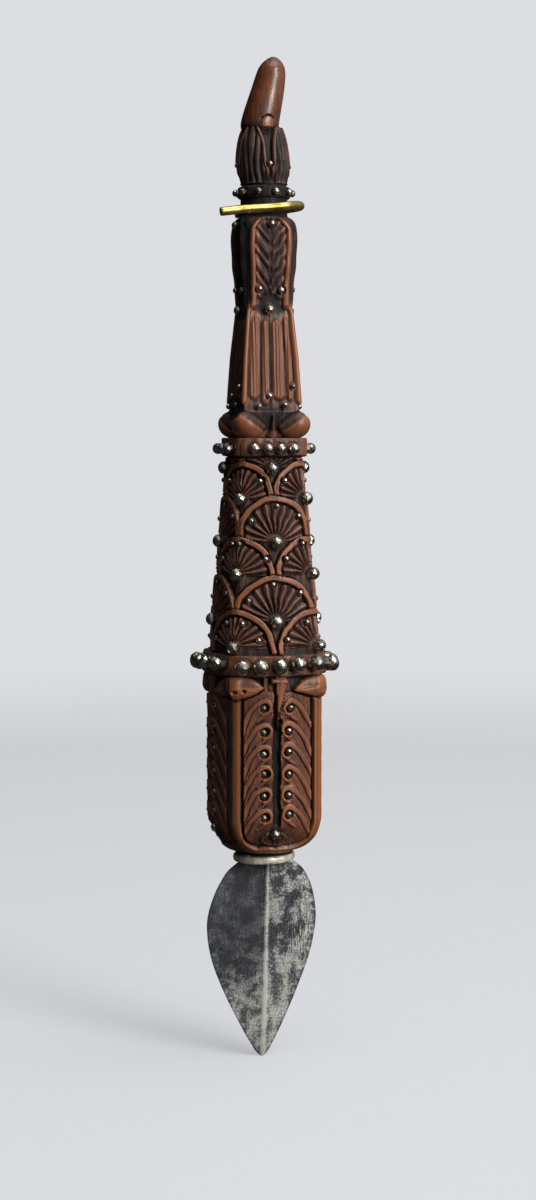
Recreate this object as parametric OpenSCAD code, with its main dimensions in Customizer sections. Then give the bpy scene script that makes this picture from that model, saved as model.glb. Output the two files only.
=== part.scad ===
// Quill cutter: a leaf-shaped blade in a carved wooden handle set with steel studs.
// Z runs up the handle from the tip of the blade, and -Y is the front.

/* [Blade] */
// Length of the blade, from its tip to its shoulder
blade_len = 30.1; // [27:0.1:36]
// Greatest width of the blade
blade_w = 17.2; // [14:0.2:20]
// Height of the widest place above the tip
blade_widest_z = 21.2; // [18:0.2:23]
// Width of the flat shoulder under the ferrule
blade_shoulder_w = 8.2; // [6:0.2:8.6]
// Thickness across the ridge at the shoulder
blade_ridge_t = 1.8; // [1.4:0.1:2.4]
// Thickness left along the edges
blade_edge_t = 0.2; // [0.1:0.05:0.4]
// Sideways place of the blade's middle
blade_shift = -0.45; // [-0.5:0.05:0.5]
// Sideways lean of the ridge at the shoulder
ridge_shift = 0.4; // [0:0.05:0.6]
// Width of the tang
tang_w = 3.2; // [2.4:0.1:3.4]
// Thickness of the tang
tang_t = 1.4; // [1:0.1:1.6]
// Length of the tang inside the grip
tang_len = 18; // [12:0.5:22]

/* [Ferrule] */
// Outer diameter of the ferrule
ferrule_d = 9.45; // [9:0.05:10.4]
// Height of the ferrule
ferrule_h = 1.3; // [1:0.05:2]
// Radius of the rounding on its outer edges
ferrule_round = 0.35; // [0.1:0.05:0.45]

/* [Grip] */
// Width of the grip from corner to corner of a side
grip_w = 13.6; // [12.8:0.1:15]
// Distance that its sides swell in the middle
grip_swell = 1.8; // [1.4:0.1:2.2]
// Height of the grip, from the ferrule to the lower collar
grip_len = 26.7; // [24:0.1:32]
// Radius of the rounded lower end
grip_round = 6.0; // [5:0.1:6.2]
// Diameter of the round neck under the grip
grip_neck_d = 9.2; // [8.8:0.1:9.6]
// Width of the raised frame round each panel
frame_w = 1.4; // [1:0.1:1.8]
// Depth of the sunk panels
panel_depth = 0.6; // [0.3:0.05:0.8]
// Distance between the leaves of a panel
lobe_pitch = 3.2; // [3:0.05:3.6]
// Distance of the leaves' eyes from the middle of a panel
lobe_eye_x = 1.85; // [1.7:0.05:2.1]
// Outer radius of an eye
lobe_eye_r = 1.25; // [1.1:0.05:1.4]
// Width of a leaf's raised rim
lobe_rim = 0.45; // [0.3:0.05:0.5]
// Radius of a leaf's sweep
lobe_sweep_r = 3.4; // [3:0.1:3.8]
// Radius of the leaf curls on the top corners
curl_r = 1.6; // [1.2:0.1:1.8]
// Distance that the curls stand out past the sides
curl_out = 0.8; // [0.4:0.1:1.2]
// Distance of the curls' inner ends from the middle of a side
curl_arm = 3.1; // [2.6:0.1:4.4]

/* [Lower collar] */
// Width of the lower collar
lower_collar_w = 15.0; // [14.2:0.1:17]
// Height of the lower collar
lower_collar_h = 3.8; // [3:0.1:4.6]
// Distance that its sides swell in the middle
lower_collar_swell = 1.9; // [1.2:0.1:2.2]
// Number of studs on each side
lower_stud_count = 5; // [3:1:5]
// Distance of the outer studs from the collar's corner
lower_stud_margin = 1.95; // [1.9:0.05:2.6]

/* [Scale section] */
// Width of the scale section at its foot
scale_w_low = 13.9; // [13:0.1:14.2]
// Width of the scale section at its top
scale_w_high = 9.4; // [9:0.1:10.4]
// Distance that its sides swell in the middle at the foot
scale_swell = 1.3; // [0.9:0.1:1.6]
// Height of the scale section
scale_len = 29.2; // [27:0.2:32]
// Depth of the carved ground between the ribs
scale_depth = 0.45; // [0.2:0.05:0.6]
// Width of the raised band of an arch
arch_band = 0.9; // [0.6:0.05:1.2]
// Distance between the rows on the corners
corner_pitch = 10.95; // [10.4:0.05:11.4]
// Height of the first corner stud above the foot
corner_first = 1.5; // [1.4:0.1:2]
// Distance between the rows on the middles of the sides
face_pitch = 11.3; // [10.8:0.05:11.6]
// Height of the first middle stud above the foot
face_first = 4.9; // [4.5:0.1:5.6]
// Height of an arch above its stud on the corners
corner_rise = 5.5; // [5:0.1:6]
// Height of an arch above its stud on the middles
face_rise = 6.9; // [6.2:0.1:7.4]
// Number of ribs in a fan
fan_ribs = 7; // [5:1:9]
// Width of a rib at the arch
rib_w = 0.8; // [0.5:0.05:0.9]

/* [Upper collar] */
// Width of the upper collar
upper_collar_w = 10.5; // [10.2:0.1:12]
// Height of the upper collar
upper_collar_h = 2.3; // [2:0.1:3]
// Distance that its sides swell in the middle
upper_collar_swell = 0.8; // [0.5:0.1:1.2]
// Number of studs on each side
upper_stud_count = 4; // [3:1:4]
// Distance of the outer studs from the collar's corner
upper_stud_margin = 2.3; // [2:0.05:2.6]

/* [Fluted shaft] */
// Height of the shaft's bulbous foot
foot_len = 4.6; // [4.4:0.1:5.4]
// Length of the fluted part
flute_len = 15.0; // [13:0.2:18]
// Length of the leaf panel above the flutes
leaf_len = 13.3; // [12.4:0.1:15]
// Length of the round neck that carries the wire
neck_len = 2.85; // [2.8:0.05:3.6]
// Diameter of the round neck
neck_d = 7.1; // [6.6:0.05:7.2]
// Width of the shaft under the flutes
shaft_w_low = 9.3; // [9:0.1:9.8]
// Width of the shaft above the flutes
shaft_w_waist = 6.9; // [6.8:0.1:7.6]
// Width of the shaft at the top of the leaf panel
shaft_w_high = 7.8; // [7.6:0.1:8.4]
// Width of a groove between two reeds
groove_w = 0.42; // [0.3:0.02:0.5]
// Depth of the grooves
groove_depth = 0.45; // [0.2:0.05:0.6]
// Radius of the four corner bulbs
bulb_r = 1.9; // [1.6:0.05:2]
// Distance of the bulbs' middles from the axis, along X and Y
bulb_place = 4.15; // [3.8:0.05:4.4]
// Distance between the strokes of the leaf panel
stroke_pitch = 1.7; // [1.5:0.05:2]

/* [Calyx and horn] */
// Height of the calyx cup
cup_len = 10.15; // [9.6:0.05:12]
// Greatest diameter of the cup
cup_d = 8.15; // [7.8:0.05:8.6]
// Diameter of the cup's rim
cup_rim_d = 6.9; // [6.6:0.05:7.4]
// Diameter of the ring for beads
bead_ring_d = 7.8; // [7.6:0.05:8.4]
// Height of the ring for beads
bead_ring_h = 2.2; // [1.8:0.05:2.4]
// Number of beads
bead_count = 10; // [8:1:12]
// Number of leaves on the cup
cup_leaves = 8; // [6:1:9]
// Height of the horn
horn_len = 10.7; // [9:0.1:13]
// Diameter of the horn's foot
horn_d = 5.6; // [5.2:0.05:6]
// Radius of the horn's round tip
horn_tip_r = 2.1; // [1.8:0.05:2.3]
// Sideways place of the horn's foot
horn_foot_x = -0.6; // [-0.7:0.05:0]
// Sideways place of the horn's tip
horn_tip_x = 1.25; // [0:0.05:2]

/* [Joints between the blocks] */
// Diameter of the grip's tenon in the scale section
lower_tenon_d = 6.8; // [5.6:0.1:7.2]
// Depth to which that tenon enters the scale section
lower_tenon_in = 6; // [4:0.5:9]
// Diameter of the scale section's tenon in the shaft
upper_tenon_d = 5.0; // [4.2:0.1:5.4]
// Depth to which that tenon enters the shaft
upper_tenon_in = 4.5; // [3:0.5:6]
// Diameter of the shaft's tenon in the cup
cup_tenon_d = 3.4; // [2.8:0.1:3.8]
// Depth to which that tenon enters the cup
cup_tenon_in = 3; // [2:0.25:3.25]
// Diameter of the horn's peg in the cup
peg_d = 2.4; // [2:0.1:2.6]
// Length of the horn's peg
peg_len = 2.2; // [1.5:0.1:3]
// Diameter of the grip's spigot in the ferrule
spigot_d = 6.8; // [6:0.1:7.4]
// Diameter of the bore for the tang
tang_bore_d = 4.4; // [4.2:0.1:4.8]
// Radial clearance of the tenons and the spigot
fit_gap = 0.03; // [0.01:0.01:0.06]
// Gap left at the blind end of each socket
end_gap = 0.3; // [0.1:0.05:0.6]

/* [Studs] */
// Diameter of the large studs on the lower collar
lower_stud_d = 2.3; // [1.8:0.05:2.4]
// Diameter of the studs on the upper collar
upper_stud_d = 1.7; // [1.4:0.05:1.8]
// Diameter of the large studs on the scale section
scale_stud_d = 2.0; // [1.6:0.05:2.2]
// Diameter of the beads
bead_d = 1.1; // [0.9:0.05:1.3]
// Diameter of the middle-sized studs
middle_stud_d = 1.5; // [1.2:0.05:1.7]
// Diameter of the small studs
small_stud_d = 0.85; // [0.7:0.05:1]
// Share of a stud's diameter that its shank has
shank_share = 0.45; // [0.35:0.05:0.45]
// Length of the shanks of the small studs
small_shank = 1.0; // [0.8:0.1:1.1]
// Length of the shanks of the larger studs
large_shank = 1.2; // [1:0.1:1.2]
// Radial clearance of a shank in its hole
shank_gap = 0.02; // [0.01:0.01:0.05]
// Radial clearance round a stud's head in its seat
seat_gap = 0.1; // [0.05:0.05:0.2]

/* [Wire clip] */
// Diameter of the brass wire
wire_d = 1.3; // [1:0.05:1.3]
// Radius of the bend, at the wire's middle
bend_r = 4.4; // [4.3:0.05:4.8]
// Sideways place of the bend's middle
bend_x = 1.05; // [0:0.05:1.5]
// Reach of the front leg past the axis
front_leg = 7.9; // [5:0.1:10]
// Reach of the back leg past the axis
back_leg = 4; // [2:0.1:8]
// Tilt of the wire on the neck
wire_tilt = 6; // [0:0.5:6]

/* [Hidden] */
$fn = 48;

wood = "#7a3a1e";
dark_wood = "#5a2a18";
steel = "#8f8f8a";
brass = "#c9a23c";

// Heights of the seats between the stacked pieces
ferrule_z = blade_len;
grip_z = ferrule_z + ferrule_h;
lower_collar_z = grip_z + grip_len;
scale_z = lower_collar_z + lower_collar_h;
upper_collar_z = scale_z + scale_len;
shaft_z = upper_collar_z + upper_collar_h;
flute_z = shaft_z + foot_len;
leaf_z = flute_z + flute_len;
neck_z = leaf_z + leaf_len;
cup_z = neck_z + neck_len;
horn_z = cup_z + cup_len;

// Lean of the tapering sides
scale_share = scale_swell / scale_w_low;
scale_lean = atan((scale_w_low - scale_w_high) * (0.5 + scale_share) / scale_len);
flute_lean = atan((shaft_w_low - shaft_w_waist) / 2 / flute_len);
leaf_lean = -atan((shaft_w_high - shaft_w_waist) / 2 / leaf_len);

sides = [0 : 3];
swell_steps = 5;
tiny = 0.01;

// Helpers

// Square-section body whose front and side views are both the given outline
module crossed(depth) {
    intersection() {
        rotate([90, 0, 0]) linear_extrude(depth, center = true) children();
        rotate([90, 0, 90]) linear_extrude(depth, center = true) children();
    }
}

// Corners of a square whose sides swell outward in a parabola
function swollen_square(w, swell) = [
    for (side = sides, i = [0 : swell_steps - 1])
        let (
            x = w * (i / swell_steps - 0.5),
            y = -swollen(x, w, swell),
            c = cos(90 * side),
            s = sin(90 * side)
        )
            [x * c - y * s, x * s + y * c]
];

// Distance of that square's side from its middle, at a place across the side
function swollen(x, w, swell) = w / 2 + swell * (1 - pow(2 * x / w, 2));

// Turn of that side's surface at the same place
function swollen_turn(x, w, swell) = atan(8 * swell * x / w / w);

// Body through such squares, given as [height, width]; the swell keeps its share of the width
module swollen_body(rings, share) {
    polyhedron(
        [for (ring = rings) each [for (p = swollen_square(ring[1], ring[1] * share)) [p[0], p[1], ring[0]]]],
        ring_faces(len(rings), 4 * swell_steps)
    );
}

module rounded_square(w, r) {
    square([w, w - 2 * r], center = true);
    square([w - 2 * r, w], center = true);
    for (x = [-1, 1])
        for (y = [-1, 1])
            translate([x * (w / 2 - r), y * (w / 2 - r)]) circle(r);
}

// Children drawn in the plane of a side: X across, Y up the side and Z outward
module on_side(side, half, z, lean = 0) {
    rotate([0, 0, 90 * side])
        translate([0, -half, z])
            rotate([90 - lean, 0, 0])
                children();
}

// Children drawn on the upright edge between two sides, with Z outward
module on_corner(side, reach, z, lean = 0) {
    rotate([0, 0, 90 * side + 45])
        translate([0, -reach, z])
            rotate([90 - lean, 0, 0])
                children();
}

// Children standing on a swollen side, square to its surface
module on_swell(side, w, swell, x, z, lean = 0) {
    rotate([0, 0, 90 * side])
        translate([x, -swollen(x, w, swell), z])
            rotate([90 - lean, 0, 0])
                rotate([0, swollen_turn(x, w, swell), 0])
                    children();
}

module mirrored_x() {
    children();
    mirror([1, 0, 0]) children();
}

// Round-headed stud standing on its seat at Z = 0, with its shank below
module stud(head_d, shank_len) {
    rotate_extrude() {
        intersection() {
            translate([0, head_d * 0.18]) circle(head_d / 2);
            square([head_d, head_d]);
        }
        translate([0, -shank_len]) square([head_d * shank_share / 2, shank_len + head_d / 2]);
    }
}

// Hole for that stud, with a flat seat for its head, cut from a surface up to clear above
module stud_hole(head_d, shank_len, clear = 0.8) {
    translate([0, 0, -shank_len - end_gap / 2])
        cylinder(d = head_d * shank_share + 2 * shank_gap, h = shank_len + clear);
    cylinder(d = head_d + 2 * seat_gap, h = clear);
}

// Places of the studs: each is [across, up], from the middle of a side's foot

function spread(count, w, margin) =
    [for (i = [0 : count - 1]) -w / 2 + margin + i * (w - 2 * margin) / (count - 1)];

// Half the width of the scale section at a height above its foot
function scale_half(h) = (scale_w_low + (scale_w_high - scale_w_low) * h / scale_len) / 2;

// Half the width of the fluted part at a height above its foot
function flute_half(h) = (shaft_w_low + (shaft_w_waist - shaft_w_low) * h / flute_len) / 2;

corner_rows = [for (h = [corner_first : corner_pitch : scale_len - 2]) h];
face_rows = [for (h = [face_first : face_pitch : scale_len - 1.5]) h];

// Every arch on a side, from the lowest up: [across, height of its middle, radius]
corner_arches = [
    for (h = corner_rows, s = [-1, 1])
        let (r = scale_half(h + corner_rise) * 0.97)
            [s * scale_half(h), h + corner_rise - r, r]
];
face_arches = [
    for (h = face_rows)
        let (r = scale_half(h + 2) * 0.96)
            [0, h + face_rise - r, r]
];

function lower_than(a, b) = a[1] < b[1] - 0.5;

// Small studs under the arches, at angles from upright
small_angles_face = [-38, 0, 38];
small_angles_corner = [28, 68];

function under_arch(a, angle) =
    let (r = a[2] - arch_band - small_stud_d * 0.75)
        [a[0] + r * sin(angle), a[1] + r * cos(angle)];

small_places = [
    for (a = face_arches, angle = small_angles_face)
        let (p = under_arch(a, angle))
            if (p[1] < scale_len - 0.9) p,
    for (a = corner_arches, angle = small_angles_corner)
        let (p = under_arch(a, a[0] > 0 ? -angle : angle))
            if (p[1] > 1 && p[1] < scale_len - 0.9) p
];

// Eyes of the leaves on a grip panel, measured from the grip's foot
grip_share = grip_swell / grip_w;
grip_foot_h = 0.1;
curl_half = grip_w / 2 + curl_out;
panel_foot = 1.3;
panel_top = grip_len - 2 * curl_r + 0.6;
first_eye = 6.7;
eye_rows = [for (h = [first_eye : lobe_pitch : panel_top - lobe_eye_r]) h];
foot_stud_h = 3.9;

// Studs of the leaf panel, from the foot of the panel: [across, up, diameter]
leaf_studs = [
    [-0.25, -0.3, middle_stud_d],
    [-1.75, 2.75, small_stud_d * 1.2],
    [1.6, 2.55, small_stud_d * 1.2],
    [-0.05, leaf_len - 1.1, small_stud_d * 1.4]
];

// Studs at the foot of the flutes, from that foot
flute_studs = [[-2.1, 0.5], [-0.45, 2.05], [1.9, 0.7], [3.15, 3.4]];

calyx_stud_h = 4.85;
bead_h = 0.8;
bead_turn = 0.3;

// The large studs stand on the two corners of the front
stud_corners = [0, 3];
function corner_reach(h) = scale_half(h) * sqrt(2) - 0.75;

// Blade

function bezier(p, t) =
    p[0] * pow(1 - t, 3) + 3 * p[1] * t * pow(1 - t, 2) + 3 * p[2] * t * t * (1 - t) + p[3] * pow(t, 3);

// Half outline as [half width, height]: a long curve from the tip, then the shoulder's curve
blade_low = [
    [0.35, 0],
    [blade_w * 0.1, blade_widest_z * 0.1],
    [blade_w / 2, blade_widest_z * 0.616],
    [blade_w / 2, blade_widest_z]
];
blade_rise = blade_len - blade_widest_z;
blade_high = [
    [blade_w / 2, blade_widest_z],
    [blade_w / 2, blade_widest_z + blade_rise * 0.3],
    [blade_w * 0.4, blade_len - blade_rise * 0.13],
    [blade_shoulder_w / 2, blade_len]
];
blade_steps = 14;
blade_outline = concat(
    [for (i = [0 : blade_steps]) bezier(blade_low, i / blade_steps)],
    [for (i = [1 : blade_steps / 2]) bezier(blade_high, i / (blade_steps / 2))]
);

// One six-cornered section of the blade, thick at the ridge and thin at both edges
function blade_section(p) =
    let (
        h = p[1],
        ridge = blade_edge_t + (blade_ridge_t - blade_edge_t) * pow(max(h, 0.3) / blade_len, 0.6),
        x = ridge_shift * h / blade_len,
        e = blade_edge_t / 2
    )
        [
            [-p[0], -e, h], [x, -ridge / 2, h], [p[0], -e, h],
            [p[0], e, h], [x, ridge / 2, h], [-p[0], e, h]
        ];

function ring_faces(rings, n) = concat(
    [[for (j = [0 : n - 1]) j]],
    [
        for (i = [0 : rings - 2], j = [0 : n - 1])
            let (k = (j + 1) % n)
                [i * n + j, (i + 1) * n + j, (i + 1) * n + k, i * n + k]
    ],
    [[for (j = [n - 1 : -1 : 0]) (rings - 1) * n + j]]
);

module blade() {
    color("#6d6e70") {
        translate([blade_shift, 0, 0])
            polyhedron(
                [for (p = blade_outline) each blade_section(p)],
                ring_faces(len(blade_outline), 6)
            );
        translate([-tang_w / 2, -tang_t / 2, blade_len - 1])
            cube([tang_w, tang_t, tang_len + 1]);
    }
}

module tang_cement() {
    color("#2e1c12")
        difference() {
            translate([0, 0, ferrule_z + end_gap])
                cylinder(d = tang_bore_d - 2 * fit_gap, h = tang_len + end_gap);
            translate([-tang_w / 2 - fit_gap, -tang_t / 2 - fit_gap, ferrule_z])
                cube([tang_w + 2 * fit_gap, tang_t + 2 * fit_gap, tang_len + end_gap]);
        }
}

module ferrule() {
    color("#b9a98a")
        translate([0, 0, ferrule_z])
            rotate_extrude()
                difference() {
                    union() {
                        square([ferrule_d / 2 - ferrule_round, ferrule_h]);
                        translate([0, ferrule_round])
                            square([ferrule_d / 2, ferrule_h - 2 * ferrule_round]);
                        for (h = [ferrule_round, ferrule_h - ferrule_round])
                            translate([ferrule_d / 2 - ferrule_round, h]) circle(ferrule_round);
                    }
                    translate([-tiny, -tiny])
                        square([spigot_d / 2 + fit_gap + tiny, ferrule_h + 2 * tiny]);
                }
}

// Grip

// Upright outline with a round lower end, drawn in by the given amount
module round_foot(half, r, foot, top, steps = 10) {
    quarter = [
        for (i = [0 : steps])
            let (a = 90 * i / steps)
                [half - r + r * sin(a), foot + r - r * cos(a)]
    ];
    polygon(concat(
        quarter,
        [[half, top], [-half, top]],
        [for (i = [steps : -1 : 0]) [-quarter[i][0], quarter[i][1]]]
    ));
}

// Heights and widths of the grip from its round lower end up, drawn in by the given amount
function grip_rings(inset) = concat(
    [
        for (i = [0 : 10])
            let (a = 9 * i, r = grip_round - inset)
                [grip_foot_h + inset + r - r * cos(a), grip_w - 2 * inset - 2 * r * (1 - sin(a))]
    ],
    [[grip_len, grip_w - 2 * inset]]
);

module grip_body(inset = 0) {
    swollen_body(grip_rings(inset), grip_share);
}

// Raised leaf: an eye round a stud, and a rim that sweeps out and down from it
module lobe() {
    difference() {
        circle(lobe_eye_r);
        circle(lobe_eye_r - lobe_rim);
    }
    translate([0, lobe_eye_r - lobe_sweep_r])
        intersection() {
            difference() {
                circle(lobe_sweep_r);
                circle(lobe_sweep_r - 2 * lobe_rim);
            }
            square([lobe_sweep_r + tiny, lobe_sweep_r + tiny]);
        }
}

// The ground of one panel, without its leaves and the leaf at its foot
module panel_ground() {
    half = grip_w / 2 - frame_w;
    r = grip_round - frame_w;
    difference() {
        round_foot(half, r, panel_foot, panel_top);
        for (h = eye_rows)
            mirrored_x() translate([lobe_eye_x, h]) lobe();
        translate([0, foot_stud_h]) difference() {
            circle(2.2);
            circle(middle_stud_d / 2 + 0.5);
        }
    }
}

// Curled leaf on each top corner: a swollen band, kept at the corners, whose arms taper upward
module corner_curls() {
    low = grip_len - 2 * curl_r - 0.1;
    half = curl_half;
    band = [
        for (a = [-90 : 20 : 90])
            [low + curl_r + curl_r * sin(a), 2 * (half - curl_r + curl_r * cos(a))]
    ];
    difference() {
        intersection() {
            swollen_body(band, grip_share);
            for (x = [-1, 1])
                for (y = [-1, 1])
                    translate([x * (curl_arm + half) / 2, y * (curl_arm + half) / 2, grip_len / 2])
                        cube([half - curl_arm + 1, half - curl_arm + 1, grip_len], center = true);
        }
        for (side = sides) on_side(side, grip_w / 2 + tiny, low)
            linear_extrude(grip_swell + 2)
                mirrored_x() polygon([[0, -1], [grip_w / 2 - 1, -1], [grip_w / 2 - 1, 0], [0, curl_r * 1.9]]);
    }
}

// The foot studs stand where the sides curve in
foot_drop = grip_round + grip_foot_h - foot_stud_h;
foot_run = sqrt(grip_round * grip_round - foot_drop * foot_drop);
foot_stud_out = (grip_w / 2 - grip_round + foot_run) * (1 + 2 * grip_share) - panel_depth;
foot_stud_lean = -atan(foot_drop / foot_run * (1 + 2 * grip_share));

module at_eyes() {
    w = grip_w - 2 * panel_depth;
    for (side = sides)
        for (h = eye_rows)
            for (x = [-lobe_eye_x, lobe_eye_x]) on_swell(side, w, w * grip_share, x, h) children();
}

module at_foot_studs() {
    for (side = sides) on_side(side, foot_stud_out, foot_stud_h, foot_stud_lean) children();
}

module grip() {
    panel_floor = 3.2;
    color(wood) translate([0, 0, grip_z]) difference() {
        union() {
            difference() {
                grip_body();
                for (side = sides) difference() {
                    on_side(side, panel_floor, 0)
                        linear_extrude(grip_w) panel_ground();
                    grip_body(panel_depth);
                }
            }
            corner_curls();
            cylinder(d = grip_neck_d, h = grip_round / 2);
            translate([0, 0, -ferrule_h + end_gap / 2])
                cylinder(d = spigot_d, h = ferrule_h);
            translate([0, 0, grip_len - 1])
                cylinder(d = lower_tenon_d, h = 1 + lower_collar_h + lower_tenon_in);
        }
        translate([0, 0, -ferrule_h - tiny])
            cylinder(d = tang_bore_d, h = ferrule_h + tang_len + 2 * end_gap);
        at_eyes() stud_hole(small_stud_d, small_shank);
        at_foot_studs() stud_hole(middle_stud_d, small_shank, 1.4);
    }
}

module grip_eye_studs() {
    color(steel) translate([0, 0, grip_z]) at_eyes() stud(small_stud_d, small_shank);
}

module grip_foot_studs() {
    color(steel) translate([0, 0, grip_z]) at_foot_studs() stud(middle_stud_d, small_shank);
}

// Collars

// Swollen square ring on a tenon, with its studs' holes along the middle of each side
module collar(w, h, swell, bore_d, places, stud_d) {
    difference() {
        linear_extrude(h) polygon(swollen_square(w, swell));
        translate([0, 0, -tiny]) cylinder(d = bore_d, h = h + 2 * tiny);
        collar_places(w, h, swell, places) stud_hole(stud_d, large_shank);
    }
}

module collar_places(w, h, swell, places) {
    for (side = sides)
        for (x = places) on_swell(side, w, swell, x, h / 2) children();
}

lower_places = spread(lower_stud_count, lower_collar_w, lower_stud_margin);
upper_places = spread(upper_stud_count, upper_collar_w, upper_stud_margin);

module lower_collar() {
    color(dark_wood) translate([0, 0, lower_collar_z])
        collar(lower_collar_w, lower_collar_h, lower_collar_swell,
            lower_tenon_d + 2 * fit_gap, lower_places, lower_stud_d);
}

module lower_collar_studs() {
    color(steel) translate([0, 0, lower_collar_z])
        collar_places(lower_collar_w, lower_collar_h, lower_collar_swell, lower_places)
            stud(lower_stud_d, large_shank);
}

module upper_collar() {
    color(dark_wood) translate([0, 0, upper_collar_z])
        collar(upper_collar_w, upper_collar_h, upper_collar_swell,
            upper_tenon_d + 2 * fit_gap, upper_places, upper_stud_d);
}

module upper_collar_studs() {
    color(steel) translate([0, 0, upper_collar_z])
        collar_places(upper_collar_w, upper_collar_h, upper_collar_swell, upper_places)
            stud(upper_stud_d, large_shank);
}

// Scale section

// Ribs of a fan, spread from the stud's place to the arch
module fan(r) {
    for (i = [0 : fan_ribs - 1]) {
        angle = 90 + (i - (fan_ribs - 1) / 2) * 150 / (fan_ribs - 1);
        rotate([0, 0, angle]) polygon([[0.9, -0.1], [r, -rib_w / 2], [r, rib_w / 2], [0.9, 0.1]]);
    }
}

// The ground inside one arch: what its band and its ribs leave
module arch_ground(a, foot) {
    r = a[2] - arch_band;
    difference() {
        translate([a[0], a[1]]) circle(r);
        translate([a[0], foot]) intersection() {
            fan(r + 1);
            translate([0, a[1] - foot]) circle(r - 0.35);
        }
    }
}

module scale_ground() {
    all_arches = concat(corner_arches, face_arches);
    intersection() {
        union() {
            for (a = all_arches)
                difference() {
                    arch_ground(a, a[1] - 0.9);
                    for (b = all_arches)
                        if (lower_than(b, a)) translate([b[0], b[1]]) circle(b[2]);
                }
        }
        polygon([
            [-scale_w_low / 2 + 0.15, 0.4], [scale_w_low / 2 - 0.15, 0.4],
            [scale_w_high / 2 - 0.15, scale_len - 0.5], [-scale_w_high / 2 + 0.15, scale_len - 0.5]
        ]);
    }
}

// Body of the scale section, drawn in by the given amount
module scale_body(inset = 0) {
    w = scale_w_low - 2 * inset;
    linear_extrude(scale_len, scale = (scale_w_high - 2 * inset) / w)
        polygon(swollen_square(w, w * scale_share));
}

// Children standing on the carved ground of a side at [across, up]
module on_scale(side, p) {
    w = 2 * (scale_half(p[1]) - scale_depth);
    on_swell(side, w, w * scale_share, p[0], p[1], scale_lean) children();
}

module at_face_studs() {
    for (side = sides)
        for (h = face_rows) on_scale(side, [0, h]) children();
}

module at_corner_studs() {
    for (side = stud_corners)
        for (h = corner_rows) on_corner(side, corner_reach(h), h, scale_lean) children();
}

module at_small_studs() {
    for (side = sides)
        for (p = small_places) on_scale(side, p) children();
}

module scale_section() {
    cut_from = scale_w_high / 2 - 1;
    color(wood) translate([0, 0, scale_z]) difference() {
        union() {
            difference() {
                scale_body();
                for (side = sides) difference() {
                    on_side(side, cut_from, 0) linear_extrude(scale_w_low) scale_ground();
                    scale_body(scale_depth);
                }
            }
            translate([0, 0, scale_len - 1])
                cylinder(d = upper_tenon_d, h = 1 + upper_collar_h + upper_tenon_in);
        }
        translate([0, 0, -tiny])
            cylinder(d = lower_tenon_d + 2 * fit_gap, h = lower_tenon_in + end_gap);
        at_face_studs() stud_hole(scale_stud_d, large_shank);
        at_small_studs() stud_hole(small_stud_d, small_shank);
        at_corner_studs() stud_hole(scale_stud_d, large_shank, 1.2);
    }
}

module scale_face_studs() {
    color(steel) translate([0, 0, scale_z]) at_face_studs() stud(scale_stud_d, large_shank);
}

module scale_corner_studs() {
    color(steel) translate([0, 0, scale_z]) at_corner_studs() stud(scale_stud_d, large_shank);
}

module scale_small_studs() {
    color(steel) translate([0, 0, scale_z]) at_small_studs() stud(small_stud_d, small_shank);
}

// Fluted shaft

// Places of the grooves between the reeds, as shares of the side's half width
groove_places = [-0.84, -0.37, -0.04, 0.48, 0.74];

module flute_grooves() {
    low = 2.4;
    high = flute_len - 1.2;
    for (g = groove_places) {
        x_low = g * flute_half(low);
        x_high = g * flute_half(high);
        polygon([
            [x_low - groove_w / 2, low], [x_low + groove_w / 2, low],
            [x_high + groove_w / 2, high], [x_high - groove_w / 2, high]
        ]);
    }
}

// Slanting strokes of the leaf, which rise away from its middle line
module leaf_strokes() {
    half = shaft_w_waist / 2 - 0.9;
    for (h = [3.4 : stroke_pitch : leaf_len - half - 1.4])
        mirrored_x() polygon([
            [0.3, h], [half, h + half], [half, h + half + 0.6], [0.3, h + 0.75]
        ]);
}

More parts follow.
